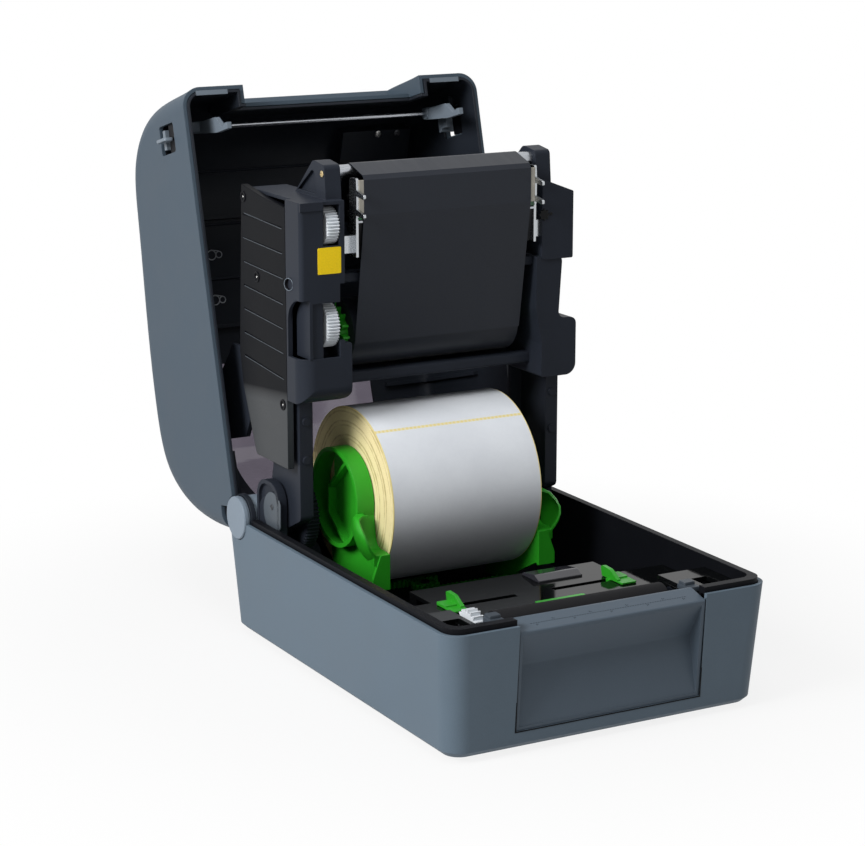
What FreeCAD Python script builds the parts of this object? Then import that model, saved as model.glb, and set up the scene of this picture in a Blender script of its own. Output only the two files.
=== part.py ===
import FreeCAD, Part
import math
import os

V = FreeCAD.Vector

# Overall body, millimetres, +Z up, front towards -Y, origin on the floor under the middle
body_width = 204.0
body_depth = 280.0
media_room = 52.3
base_height = 72.5
foot_height = 3.0
corner_radius = 12.0
side_draft = 4.0
front_draft = 5.5
rear_draft = 6.0
bottom_chamfer = 3.0
shell_wall = 2.5

# Clearances
slip_gap = 0.4
run_gap = 0.05
swing_gap = 0.8
mesh_gap = 0.25

# Cover hinge and cover
hinge_y = 120.6
hinge_z = 73.8
barrel_radius = 12.6
cap_radius = 13.0
cap_length = 3.0
cover_swing = 104.8
cover_rim = 3.0
cover_crown = 114.5
cover_rear = 9.0
cover_edge_round = 12.0
liner_wall = 1.6
ear_thickness = 3.0
ear_radius = 14.0
window_front = 100.0
window_foot = 42.0
exit_depth = 9.0
exit_height = 40.0
exit_sill = 18.0

# Cover latch
latch_rod_s = 240.0
latch_rod_h = 32.0
latch_rod_radius = 1.5
latch_hook_s = 234.0
latch_hook_drop = 12.0
latch_thickness = 3.0
latch_slot_half = 9.0
latch_slot_low = 22.0
latch_slot_high = 44.0
button_radius = 5.0
button_flange = 1.2
button_rise = 1.2
lens_radius = 2.0
lens_offset = 16.0
lens_depth = 4.0
housing_half = 16.0
housing_depth = 16.0
button_travel = 1.5

# Inner tray
tray_wall = 1.6
tray_floor = 27.0
tray_boss_radius = 4.0
lip_height = 3.0
lip_depth = 4.0
rear_wall_top = 92.0

# Front panel and deck
panel_bottom = 13.0
panel_depth = 15.5
panel_strip_drop = 3.5
panel_recess_depth = 14.0
panel_recess_z = 47.0
deck_top = 69.0
deck_thickness = 3.0
deck_rear_y = -87.0
slot_length = 22.0
slot_width = 11.0
platform_top = 60.0
platform_rear_y = -22.0
platform_front_y = -86.0
platform_wall = 2.5
platform_cheek = 8.0
wing_break_y = -47.0
wing_fall = 8.0

# Platen and its drive
platen_y = -103.0
platen_z = 61.5
platen_radius = 8.5
platen_shaft_radius = 3.0
cheek_thickness = 2.5
bush_radius = 5.0
gear_module = 1.0
drive_gear_width = 6.0
platen_teeth = 22
idler_teeth = 34
pinion_teeth = 10
drive_angle = -55.0
motor_angle = -15.0
motor_size = 35.0
motor_length = 30.0

# Ribbon carriage, standing upright at rest
pivot_y = 95.0
pivot_z = 80.0
pivot_pin_radius = 4.0
carriage_swing = 77.0
nip_gap = 0.8
arm_thickness = 8.5
arm_boss_radius = 11.5
arm_front_y = 62.0
arm_width = 36.0
frame_front_y = 45.0
frame_rear_y = 124.0
frame_bottom = 156.5
frame_top = 273.0
frame_wall = 2.0
cheek_y = 64.0
shoulder_z = 217.0
casing_round = 9.0
window_low = 183.0
window_high = 215.0
window_upper = 247.5
side_cover_thickness = 4.0
guide_shaft_y = 60.0
guide_shaft_z = 287.0
guide_shaft_radius = 4.0
post_width = 10.0
ribbon_thickness = 0.3
ribbon_gap = 0.6
supply_y = 75.0
supply_z = 191.0
supply_radius = 20.0
supply_teeth = 24
takeup_y = 83.0
takeup_z = 240.0
takeup_radius = 14.0
takeup_teeth = 78
thumb_teeth = 34
thumb_angle = 147.8
wheel_teeth = 42
wheel_angle = 151.8
ribbon_module = 0.6
spindle_radius = 4.0
ribbon_gear_width = 7.5
head_top = 284.0
head_height = 20.0
head_thickness = 1.6
bracket_thickness = 1.5
chassis_shelf_z = 164.0
chassis_front_y = 60.0
chassis_rear_y = 117.0
chassis_wall = 3.0
chassis_top = 266.0
right_upper_z = 228.0
cross_bar_y = 51.0
cross_bar_z = 224.5

# Carriage hinge gear and damper
hinge_gear_module = 0.75
hinge_gear_teeth = 60
hinge_gear_width = 8.0
damper_teeth = 16
housing_radius = 17.0
housing_top = 102.0

# Label roll and its holders
roll_y = 70.5
roll_z = 93.0
roll_radius = 53.0
core_radius = 14.5
core_bore = 12.7
holder_ring = 30.0
holder_ring_wall = 2.5
holder_width = 11.0
holder_web = 3.0
holder_hub = 12.2
holder_hub_length = 12.0
holder_gap = 0.6
holder_foot_half = 14.0
scoop_low = 69.5
post_front_y = 21.0
post_top = 69.0
post_foot = 48.0
rack_module = 1.0
holder_pinion_teeth = 16
rack_height = 4.0
rack_depth = 5.0
rack_overrun = 14.0

# Media guides and sensor
guide_y = -57.0
guide_length = 16.0
guide_height = 6.5
guide_slot_width = 4.4
guide_slot_start = 12.0
guide_pinion_teeth = 12
sensor_y = -80.5
sensor_half = 16.0
sensor_x = 3.0

# Rear connectors and small parts
port_z = 8.5
port_depth = 14.0
port_wall = 1.5
usb_x = 28.0
usb_width = 12.0
usb_height = 11.0
lan_x = 56.0
lan_width = 16.0
lan_height = 13.5
inlet_x = -30.0
inlet_radius = 6.0
switch_x = -62.0
switch_half_width = 7.0
switch_height = 16.0
board_thickness = 1.6
foot_radius = 8.0
foot_y = 112.0

half_width = body_width / 2
front_y = -body_depth / 2
rear_y = body_depth / 2

# Widths that follow the body and the label roll between its side frames
media_half = half_width - media_room
roll_half = media_half
ribbon_half = media_half + 5.3
platen_half = ribbon_half - 1.0
cheek_x = ribbon_half + 5.0
drive_gear_x = -cheek_x - 10.0
panel_half_width = media_half + 8.8
panel_recess_half = panel_half_width - 2.0
window_half_width = media_half + 9.3
exit_half_width = media_half + 11.3
platform_half = media_half + 11.3
guide_half = media_half + 1.3
guide_slot_half = guide_half + 9.0
sensor_slot_half = guide_half - 5.0
frame_inner_x = ribbon_half + 11.0
frame_outer_x = half_width - 12.0
post_x = frame_inner_x + 3.5
bracket_x = ribbon_half + 3.0
ribbon_gear_x = -frame_inner_x - 11.0
barrel_inner_x = half_width - 22.0
housing_outer_x = half_width - 8.0
housing_inner_x = housing_outer_x - 5.5
arm_inner_x = housing_inner_x - 9.5
pivot_pin_inner_x = arm_inner_x - 9.5
hinge_gear_x = 1.0 - arm_inner_x
slot_x = half_width - 22.0
tray_boss_x = half_width - 13.0
button_x = half_width - 32.0
foot_x = half_width - 24.0


def box(x0, x1, y0, y1, z0, z1):
    return Part.makeBox(x1 - x0, y1 - y0, z1 - z0, V(x0, y0, z0))


def rod_x(y, z, radius, x0, x1):
    return Part.makeCylinder(radius, x1 - x0, V(x0, y, z), V(1, 0, 0))


def rod_y(x, z, radius, y0, y1):
    return Part.makeCylinder(radius, y1 - y0, V(x, y0, z), V(0, 1, 0))


def rod_z(x, y, radius, z0, z1):
    return Part.makeCylinder(radius, z1 - z0, V(x, y, z0), V(0, 0, 1))


def tube_x(y, z, outer, inner, x0, x1):
    return rod_x(y, z, outer, x0, x1).cut(rod_x(y, z, inner, x0 - 1, x1 + 1))


def mirror(shape):
    return shape.mirror(V(0, 0, 0), V(1, 0, 0))


def both_sides(shape):
    return Part.makeCompound([shape, mirror(shape)])


def export(shape, node):
    # Drawn about the middle of the base, placed about the middle of the whole open printer
    placed = shape.copy()
    placed.translate(V(0, -middle_y, 0))
    placed.exportStep("parts/" + node + ".step")


def unit(u, v):
    length = math.hypot(u, v)
    return u / length, v / length


def rounded_wire(corners, place):
    # Closed outline through (u, v) or (u, v, radius) corners, rounded by tangent arcs
    turns = []
    count = len(corners)
    for i in range(count):
        u, v = corners[i][0], corners[i][1]
        radius = corners[i][2] if len(corners[i]) > 2 else 0.0
        before = corners[i - 1]
        after = corners[(i + 1) % count]
        a = unit(before[0] - u, before[1] - v)
        b = unit(after[0] - u, after[1] - v)
        if radius <= 0:
            turns.append(((u, v), None, (u, v)))
            continue
        half = 0.5 * math.acos(a[0] * b[0] + a[1] * b[1])
        reach = radius / math.tan(half)
        m = unit(a[0] + b[0], a[1] + b[1])
        depth = radius / math.sin(half) - radius
        start = (u + a[0] * reach, v + a[1] * reach)
        middle = (u + m[0] * depth, v + m[1] * depth)
        end = (u + b[0] * reach, v + b[1] * reach)
        turns.append((start, middle, end))
    edges = []
    for i in range(count):
        start, middle, end = turns[i]
        if middle:
            edges.append(Part.Arc(place(*start), place(*middle), place(*end)).toShape())
        following = turns[(i + 1) % count][0]
        if math.hypot(following[0] - end[0], following[1] - end[1]) > 1e-6:
            edges.append(Part.LineSegment(place(*end), place(*following)).toShape())
    return Part.Wire(edges)


def prism_x(corners, x0, x1):
    wire = rounded_wire(corners, lambda y, z: V(x0, y, z))
    return Part.Face(wire).extrude(V(x1 - x0, 0, 0))


def prism_y(corners, y0, y1):
    wire = rounded_wire(corners, lambda x, z: V(x, y0, z))
    return Part.Face(wire).extrude(V(0, y1 - y0, 0))


def prism_z(corners, z0, z1):
    wire = rounded_wire(corners, lambda x, y: V(x, y, z0))
    return Part.Face(wire).extrude(V(0, 0, z1 - z0))


def rectangle(u0, u1, v0, v1, radius=0.0):
    return [(u0, v0, radius), (u1, v0, radius), (u1, v1, radius), (u0, v1, radius)]


def gear_outline(teeth, module, phase):
    # Straight-flanked teeth, thin enough to run with backlash
    pitch_radius = teeth * module / 2
    step = 2 * math.pi / teeth
    tip = pitch_radius + 0.85 * module
    root = pitch_radius - 1.2 * module
    points = []
    for tooth in range(teeth):
        middle = phase + tooth * step
        for radius, share in ((root, -0.30), (tip, -0.09), (tip, 0.09), (root, 0.30)):
            turn = middle + share * step
            points.append((radius * math.cos(turn), radius * math.sin(turn)))
    return points


def gear_x(y, z, teeth, module, phase, bore, x0, x1):
    outline = [(y + u, z + v) for u, v in gear_outline(teeth, module, phase)]
    return prism_x(outline, x0, x1).cut(rod_x(y, z, bore, x0 - 1, x1 + 1))


def gear_z(x, y, teeth, module, phase, bore, z0, z1):
    outline = [(x + u, y + v) for u, v in gear_outline(teeth, module, phase)]
    return prism_z(outline, z0, z1).cut(rod_z(x, y, bore, z0 - 1, z1 + 1))


def mesh_phase(phase, teeth, direction, mate_teeth):
    # Tooth phase of a gear that meshes with a given one, seen along a direction
    offset = phase - direction
    return direction + math.pi - offset * teeth / mate_teeth + math.pi / mate_teeth


def rack(x0, x1, pitch_y, side, module, back, z0, z1):
    # Toothed bar along X whose gaps face a pinion tooth at x = 0, with its body towards side
    step = math.pi * module
    first = math.ceil((x0 + step) / step)
    last = math.floor((x1 - step) / step)
    root = pitch_y + side * (1.2 * module + mesh_gap)
    tip = pitch_y - side * (0.85 * module - mesh_gap)
    outline = [(x0, root)]
    for tooth in range(first, last + 1):
        middle = (tooth + 0.5) * step
        if middle + step / 2 > x1:
            break
        outline += [(middle - 0.30 * step, root), (middle - 0.09 * step, tip)]
        outline += [(middle + 0.09 * step, tip), (middle + 0.30 * step, root)]
    outline += [(x1, root), (x1, pitch_y + side * back), (x0, pitch_y + side * back)]
    return prism_z(outline, z0, z1)


def base_section(z, inset):
    # Rounded rectangle of the drafted base at one height
    fall = (base_height - z) / (base_height - foot_height)
    x = half_width - side_draft * fall - inset
    y0 = front_y + front_draft * fall + inset
    y1 = rear_y - rear_draft * fall - inset
    radius = max(corner_radius - inset, 1.0)
    return rectangle(-x, x, y0, y1, radius)


def base_wire(z, inset):
    return rounded_wire(base_section(z, inset), lambda x, y: V(x, y, z))


def rear_wall_y(z):
    return rear_y - rear_draft * (base_height - z) / (base_height - foot_height)


def open_cover(shape):
    # Cover pieces are drawn closed, then swung back to the open rest position
    shape = shape.copy()
    shape.rotate(V(0, hinge_y, hinge_z), V(1, 0, 0), -cover_swing)
    return shape


def cover_point(s, h):
    # s runs forward from the hinge axis and h up from it, with the cover closed
    return hinge_y - s, hinge_z + h


cover_front = hinge_y - front_y


def cover_curve():
    stations = [
        (cover_front, cover_rim),
        (cover_front - 1.5, 36.0),
        (cover_front - 9.0, cover_crown - 40.0),
        (cover_front - 30.0, cover_crown - 17.0),
        (cover_front - 70.0, cover_crown - 8.5),
        (cover_front - 130.0, cover_crown - 2.5),
        (75.0, cover_crown),
        (34.0, cover_crown - 7.5),
        (8.0, cover_crown - 36.0),
        (5.0 - cover_rear, 46.0),
        (-cover_rear, 14.0),
        (-cover_rear, cover_rim),
    ]
    points = [V(0, *cover_point(s, h)) for s, h in stations]
    curve = Part.BSplineCurve()
    curve.interpolate(points)
    return curve, points


def rear_reach():
    # Rearmost point of the open cover, on its skin or on the button's face
    curve, points = cover_curve()
    skin = open_cover(curve.toShape()).discretize(400)
    button = open_cover(panel_rod(button_radius, 0, button_rise, 0))
    return max(max(point.y for point in skin), button.optimalBoundingBox(False).YMax)


def cover_solid(inset, below, side):
    # The cover's rounded form, shrunk by inset (by side in X) and carried straight down below its rim
    curve, points = cover_curve()
    x = half_width - side
    shifted = []
    for point in points:
        along = curve.tangent(curve.parameter(point))[0]
        inward = V(0, along.z, -along.y)
        moved = point + inward * inset
        shifted.append(V(-x, moved.y, moved.z))
    skin = Part.BSplineCurve()
    skin.interpolate(shifted)
    rim = Part.LineSegment(shifted[-1], shifted[0]).toShape()
    solid = Part.Face(Part.Wire([skin.toShape(), rim])).extrude(V(2 * x, 0, 0))
    long_edges = []
    for edge in solid.Edges:
        on_side = abs(abs(edge.CenterOfMass.x) - x) < 1e-3
        if on_side and edge.Length > 1.2 * cover_front:
            long_edges.append(edge)
    solid = solid.makeFillet(cover_edge_round - side, long_edges)
    if below > 0:
        floor = min(solid.Faces, key=lambda face: face.CenterOfMass.z)
        solid = solid.fuse(floor.extrude(V(0, 0, -below)))
    return solid


def cover_prism(corners, x0, x1):
    return prism_x([cover_point(*corner[:2]) + tuple(corner[2:]) for corner in corners], x0, x1)


def exit_notch(grow):
    # Recess in the cover's front wall where labels leave
    x = exit_half_width + grow
    back = cover_front - exit_depth - grow
    roof = exit_height + grow
    ahead = cover_front + 20
    corners = [(ahead, -20), (back, -20), (back, roof), (ahead, roof + exit_depth + 20)]
    return cover_prism(corners, -x, x)


def hinge_relief(gap):
    # Room that the cover's rear corner needs to swing behind the base
    corners = [(-60, -60), (-60, 27), (8, 21), (0.5, -60)]
    relief = cover_prism(corners, -half_width - 5, half_width + 5)
    return relief.fuse(rod_x(hinge_y, hinge_z, cap_radius + gap, -half_width - 5, half_width + 5))


def window_block(grow, side):
    front = window_front + grow
    foot = window_foot - grow
    x = window_half_width + side
    above = cover_crown + 20
    corners = [(front, above - 45), (front, above), (-60, above), (-60, foot), (20, foot)]
    return cover_prism(corners, -x, x)


def latch_window(grow, x0, x1):
    corners = rectangle(latch_hook_s - latch_slot_half - grow, latch_hook_s + latch_slot_half + grow,
                        latch_slot_low - grow, latch_slot_high + grow, 2.0)
    return cover_prism(corners, x0, x1)


def make_base_shell():
    low = foot_height + bottom_chamfer
    sections = [base_wire(foot_height, bottom_chamfer), base_wire(low, 0), base_wire(base_height, 0)]
    outer = Part.makeLoft(sections, True, True)
    floor = foot_height + shell_wall
    sections = [base_wire(floor, bottom_chamfer + shell_wall), base_wire(low + 1, shell_wall)]
    sections.append(base_wire(base_height + 2, shell_wall))
    inner = Part.makeLoft(sections, True, True)
    shell = outer.cut(inner)
    shell = shell.cut(front_opening(slip_gap))
    caps = rod_x(hinge_y, hinge_z, cap_radius + slip_gap, -half_width - 5, half_width + 5)
    shell = shell.cut(caps)
    for low_x, high_x, low_z, high_z in port_windows():
        shell = shell.cut(box(low_x, high_x, rear_y - 20, rear_y + 5, low_z, high_z))
    shell = shell.cut(rod_y(inlet_x, inlet_z(), inlet_radius + slip_gap, rear_y - 20, rear_y + 5))
    ear_end = ear_x() + ear_thickness + slip_gap
    sweep = rod_x(hinge_y, hinge_z, ear_radius + swing_gap, ear_x() - swing_gap, ear_end)
    shell = shell.cut(sweep).cut(mirror(sweep))
    for y in (-70.0, 15.0):
        boss = rod_z(tray_boss_x, y, tray_boss_radius, floor - 1, tray_floor - tray_wall)
        shell = shell.fuse(boss).fuse(mirror(boss))
    return shell


def front_opening(gap):
    x = panel_half_width + gap
    return box(-x, x, front_y - 5, front_y + panel_depth + gap, panel_bottom, base_height + 10)


def inlet_z():
    return port_z + inlet_radius


def port_windows():
    gap = slip_gap
    windows = []
    for x, width, height in ((usb_x, usb_width, usb_height), (lan_x, lan_width, lan_height)):
        half = width / 2 + port_wall + gap
        windows.append((x - half, x + half, port_z - gap, port_z + height + 2 * port_wall + gap))
    half = switch_half_width + gap
    windows.append((switch_x - half, switch_x + half, port_z - gap, port_z + switch_height + gap))
    return windows


def tray_section(inset):
    return base_section(tray_floor - tray_wall, shell_wall + slip_gap + inset)


def make_media_tray():
    bottom = tray_floor - tray_wall
    top = base_height + lip_height
    outer = prism_z(tray_section(0), bottom, top)
    tray = outer.cut(prism_z(tray_section(tray_wall), tray_floor, top + 1))
    lip = prism_z(base_section(base_height, shell_wall + slip_gap), top - lip_depth, top)
    lip = lip.cut(prism_z(tray_section(tray_wall), top - lip_depth - 1, top + 1))
    tray = tray.fuse(lip)
    wall_y = roll_y + roll_radius + 4.0
    x = barrel_inner_x - 4
    tray = tray.fuse(box(-x, x, wall_y, wall_y + tray_wall, bottom, rear_wall_top))
    x = panel_half_width + 2 * slip_gap
    tray = tray.cut(box(-x, x, front_y - 5, front_y + panel_depth + 2 * slip_gap, bottom - 1, top + 1))
    well = box(drive_gear_x - 10, platform_half + 4, front_y + panel_depth, platform_rear_y - 6, bottom - 1,
               tray_floor + 1)
    tray = tray.cut(well)
    ears = rod_x(hinge_y, hinge_z, ear_radius + 2 * swing_gap, barrel_inner_x - slip_gap, half_width)
    ears = ears.fuse(mirror(ears))
    tray = tray.cut(ears)
    return tray.fuse(rod_z(0, roll_y, 2.5, tray_floor, tray_floor + rack_height + 1.5))


def make_front_panel():
    top = base_height - panel_strip_drop
    fall = (base_height - panel_bottom) / (base_height - foot_height)
    foot_y = front_y + front_draft * fall
    back = front_y + panel_depth
    strip_y = back - 1.5
    corners = [(front_y + 0.8, top, 1.0), (foot_y + 0.6, panel_bottom), (foot_y + 4, panel_bottom)]
    corners += [(back, panel_recess_z - 6, 3.0), (back, base_height), (strip_y, base_height)]
    panel = prism_x(corners, -panel_half_width, panel_half_width)
    deep = front_y + panel_recess_depth - 2.0
    recess = [(front_y - 10, top - 1.5), (front_y + 0.5, top - 1.5), (deep, panel_recess_z, 2.0)]
    recess += [(foot_y + 1.0, panel_bottom + 2), (front_y - 10, panel_bottom + 2)]
    return panel.cut(prism_x(recess, -panel_recess_half, panel_recess_half))


def make_front_deck():
    low = deck_top - deck_thickness
    deck = prism_z(tray_section(tray_wall + slip_gap), low, deck_top)
    deck = deck.cut(box(-half_width, half_width, deck_rear_y, rear_y, low - 1, deck_top + 1))
    x = cheek_x + cheek_thickness
    deck = deck.cut(box(-cheek_x, cheek_x, front_y, deck_rear_y + 1, low - 1, deck_top + 1))
    deck = deck.cut(box(-x, x, platen_y - 12, deck_rear_y + 1, low - 1, deck_top + 1))
    half = slot_width / 2
    plan = rectangle(slot_x - half, slot_x + half, slot_front(), slot_front() + slot_length, 1.0)
    slot = prism_z(plan, low - 1, deck_top + 1)
    deck = deck.cut(slot).cut(mirror(slot))
    deck = deck.cut(box(drive_gear_x - 1.5, -x, platen_y - 14, deck_rear_y + 1, low - 1, deck_top + 1))
    foot = foot_height + shell_wall
    cheek = [(platen_y - 12, foot), (platen_y + 12, foot), (platen_y + 12, platen_z - 4)]
    cheek += [(platen_y + 7, platen_z + 6, 2.0), (platen_y - 7, platen_z + 6, 2.0)]
    cheek += [(platen_y - 12, deck_top)]
    plate = prism_x(cheek, cheek_x, x).cut(rod_x(platen_y, platen_z, bush_radius, cheek_x - 1, x + 1))
    deck = deck.fuse(plate).fuse(mirror(plate))
    idler = drive_points()[0]
    stay = box(-x, -cheek_x, platen_y + 10, idler[0] + 6, foot, idler[1] + 6)
    axle = rod_x(idler[0], idler[1], platen_shaft_radius, drive_gear_x - 1, -cheek_x - 1)
    return deck.fuse(stay).fuse(axle)


def slot_front():
    middle = hinge_y - latch_hook_s
    return middle - slot_length / 2


def make_media_platform():
    low = platform_top - platform_wall
    foot = tray_floor
    x = platform_half
    front, back = platform_front_y, platform_rear_y
    top = box(-x, x, front, back, low, platform_top)
    rear = box(-x, x, back - platform_wall, back, foot, platform_top)
    nose = [(front, platform_top), (front - 4, platform_top - 3), (front, low - 4)]
    platform = top.fuse(rear).fuse(prism_x(nose, 4 - x, x - 4))
    wall = box(x - platform_wall, x, back - platform_cheek, back, foot, platform_top)
    wing = platform_wing()
    for piece in (wall, wing):
        platform = platform.fuse(piece).fuse(mirror(piece))
    half = guide_slot_width / 2
    slot = box(guide_slot_start, guide_slot_half, guide_y - half, guide_y + half, low - 1, platform_top + 1)
    platform = platform.cut(slot).cut(mirror(slot))
    reach = sensor_slot_half
    platform = platform.cut(box(-reach, reach, sensor_y - half, sensor_y + half, low - 1, platform_top + 1))
    axle = rod_z(0, guide_y, 2.0, low - rack_height - 2, low)
    return platform.fuse(axle)


def platform_wing():
    # Side shelf beside the label path, falling away at the rear where the closed carriage comes down
    outer = half_width - side_draft - shell_wall - tray_wall - 2 * slip_gap
    drop = platform_top - wing_fall
    corners = [(platform_front_y, platform_top), (wing_break_y, platform_top), (platform_rear_y, drop)]
    corners += [(platform_rear_y, drop - platform_wall), (wing_break_y, platform_top - platform_wall)]
    corners += [(platform_front_y, platform_top - platform_wall)]
    return prism_x(corners, platform_half, outer)


def make_feet():
    feet = []
    for x in (-foot_x, foot_x):
        for y in (-foot_y, foot_y):
            feet.append(Part.makeCone(foot_radius - 1.0, foot_radius, foot_height, V(x, y, 0), V(0, 0, 1)))
    return Part.makeCompound(feet)


def make_hinge_barrels():
    x = half_width + 0.6
    barrel = rod_x(hinge_y, hinge_z, barrel_radius, barrel_inner_x, x)
    cap = rod_x(hinge_y, hinge_z, cap_radius, x - cap_length, x)
    cap = cap.makeFillet(0.8, [e for e in cap.Edges if e.CenterOfMass.x > x - 0.1])
    journal = tube_x(hinge_y, hinge_z, barrel_radius + 5, journal_radius(), ear_x() - slip_gap,
                     ear_x() + ear_thickness + slip_gap)
    barrel = barrel.fuse(cap).cut(journal)
    post = box(barrel_inner_x + 2, ear_x() - swing_gap, hinge_y - 8, hinge_y + 3, tray_floor, hinge_z)
    return both_sides(barrel.fuse(post))


def journal_radius():
    return barrel_radius - 3.0


def ear_x():
    return liner_inner_x() - ear_thickness + 0.2


def liner_inner_x():
    return half_width - shell_wall - liner_wall


def make_pivot_housings():
    r = housing_radius
    front, rear = pivot_y - r, pivot_y + r - 4
    bend, rim = r - 5, 2.5
    crown = housing_top
    corners = [(front, tray_floor), (rear, tray_floor), (rear, crown, bend), (front, crown, bend)]
    block = prism_x(corners, housing_inner_x, housing_outer_x)
    face = housing_outer_x - 2.0
    front, rear, crown = front + rim, rear - rim, housing_top - rim
    bend = bend - rim
    recess = [(front, tray_floor - 1), (rear, tray_floor - 1), (rear, crown, bend), (front, crown, bend)]
    block = block.cut(prism_x(recess, face, housing_outer_x + 1))
    block = block.fuse(rod_x(pivot_y, pivot_z, arm_boss_radius, face - 1, housing_outer_x - 0.6))
    block = block.cut(rod_x(pivot_y, pivot_z, pivot_pin_radius, housing_inner_x - 1, housing_outer_x - 2.5))
    return both_sides(block)


def make_pivot_pins():
    pin = rod_x(pivot_y, pivot_z, pivot_pin_radius, pivot_pin_inner_x, housing_outer_x - 2.5)
    return both_sides(pin)


def make_platen_bushes():
    x = cheek_x + cheek_thickness
    bush = tube_x(platen_y, platen_z, bush_radius, platen_shaft_radius + run_gap, cheek_x, x)
    return both_sides(bush)


def drive_points():
    # Gear centres from the platen down to the motor, with the angles between them
    turn = math.radians(drive_angle)
    bend = math.radians(motor_angle)
    first = (platen_teeth + idler_teeth) * gear_module / 2 + mesh_gap
    second = (idler_teeth + pinion_teeth) * gear_module / 2 + mesh_gap
    idler = (platen_y + first * math.cos(turn), platen_z + first * math.sin(turn))
    motor = (idler[0] + second * math.cos(bend), idler[1] + second * math.sin(bend))
    return idler, motor, turn, bend


def make_drive():
    idler, motor, turn, bend = drive_points()
    x0, x1 = drive_gear_x, drive_gear_x + drive_gear_width
    platen_phase = turn
    idler_phase = mesh_phase(platen_phase, platen_teeth, turn, idler_teeth)
    pinion_phase = mesh_phase(idler_phase, idler_teeth, bend, pinion_teeth)
    bore = platen_shaft_radius
    platen_gear = gear_x(platen_y, platen_z, platen_teeth, gear_module, platen_phase, bore, x0, x1)
    idler_gear = gear_x(*idler, idler_teeth, gear_module, idler_phase, bore + run_gap, x0, x1)
    pinion = gear_x(motor[0], motor[1], pinion_teeth, gear_module, pinion_phase, 2.5, x0, x1)
    pinion = pinion.fuse(rod_x(motor[0], motor[1], 2.5, x0 - 1, x1 + 5))
    size = motor_size / 2
    face = x1 + 5.5
    corners = rectangle(motor[0] - size, motor[0] + size, motor[1] - size, motor[1] + size, 5.0)
    body = prism_x(corners, face, face + motor_length)
    body = body.cut(rod_x(motor[0], motor[1], 2.5 + run_gap, face - 1, face + 12))
    foot = foot_height + shell_wall
    seat = box(face + 4, face + motor_length - 4, motor[0] - 12, motor[0] + 12, foot, motor[1] - size)
    export(platen_gear, "platen_gear")
    export(idler_gear, "drive_idler")
    export(pinion, "motor_pinion")
    export(body.fuse(seat), "stepper_motor")


def make_platen():
    reach = cheek_x + cheek_thickness + 2
    shaft = rod_x(platen_y, platen_z, platen_shaft_radius, drive_gear_x - 1, reach)
    rubber = tube_x(platen_y, platen_z, platen_radius, platen_shaft_radius, -platen_half, platen_half)
    export(shaft, "platen_shaft")
    export(rubber, "platen_rubber")


def make_electronics():
    floor = foot_height + shell_wall
    top = port_z
    low = top - board_thickness
    reach = half_width - 18.0
    board = box(-reach, reach, 30, rear_wall_y(top) - shell_wall - 2, low, top)
    for x in (8 - reach, reach - 8):
        for y in (38, 118):
            board = board.fuse(rod_z(x, y, 3.0, floor, low))
    export(board, "main_board")
    sockets = (("usb_port", usb_x, usb_width, usb_height), ("lan_port", lan_x, lan_width, lan_height))
    for node, x, width, height in sockets:
        outer_y = rear_wall_y(top) - 0.5
        back = outer_y - port_depth
        half = width / 2
        wide = half + port_wall
        roof = top + port_wall + height
        shell = box(x - wide, x + wide, back, outer_y, top, roof + port_wall)
        shell = shell.cut(box(x - half, x + half, back + 3, outer_y + 1, top + port_wall, roof))
        export(shell, node)
    outer_y = rear_wall_y(top) - 0.3
    inlet = rod_y(inlet_x, inlet_z(), inlet_radius, outer_y - port_depth, outer_y)
    inlet = inlet.cut(rod_y(inlet_x, inlet_z(), inlet_radius - 1.5, outer_y - port_depth + 3, outer_y + 1))
    inlet = inlet.fuse(rod_y(inlet_x, inlet_z(), 1.2, outer_y - port_depth + 2, outer_y - 2))
    inlet = inlet.fuse(box(inlet_x - 4, inlet_x + 4, outer_y - port_depth, outer_y - 4, top, top + 2))
    export(inlet, "dc_inlet")


def switch_axis():
    z = port_z + switch_height / 2
    return rear_wall_y(z) - 6.0, z


def make_switch():
    y, z = switch_axis()
    outer = rear_wall_y(z)
    half = switch_half_width
    low, high = port_z, port_z + switch_height
    frame = box(switch_x - half, switch_x + half, outer - 14, outer - 0.8, low, high)
    wall = 1.2
    x0, x1 = switch_x - half + wall, switch_x + half - wall
    frame = frame.cut(box(x0, x1, outer - 12, outer + 1, low + wall, high - wall))
    frame = frame.fuse(rod_x(y, z, 1.5, switch_x - half + 0.5, switch_x + half - 0.5))
    export(frame, "switch_frame")
    reach = switch_height / 2 - 2.4
    corners = [(y - 2.6, z - 3), (y + 4.0, z - reach, 1.0), (y + 5.6, z - reach + 1.5), (y + 3.4, z)]
    corners += [(y + 4.6, z + reach - 0.5), (y + 2.4, z + reach), (y - 2.6, z + 3)]
    rocker = prism_x(corners, switch_x - half + 1.6, switch_x + half - 1.6)
    rocker = rocker.cut(rod_x(y, z, 1.5 + run_gap, switch_x - half, switch_x + half))
    export(rocker, "power_rocker")


def make_sensor():
    low = platform_top
    half = sensor_half
    plan = rectangle(sensor_x - half, sensor_x + half, sensor_y - 2.8, sensor_y + 2.8, 1.5)
    slider = prism_z(plan, low + 0.3, low + 2.2)
    under = low - platform_wall
    neck = box(sensor_x - 5, sensor_x + 5, sensor_y - 1.8, sensor_y + 1.8, under - 1, low + 0.4)
    keel = box(sensor_x - 8, sensor_x + 8, sensor_y - 3.5, sensor_y + 3.5, under - 4, under - 0.3)
    export(slider.fuse(neck).fuse(keel), "sensor_slider")
    back = platform_rear_y - 3
    plate = [(back, low), (back, low + 1.5, 1.0), (back - 13, low + 3.5, 3.0)]
    plate += [(back - 18.5, low + 1.0), (back - 18.5, low)]
    export(prism_x(plate, 11.0, 40.0), "gap_sensor_cover")


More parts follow.
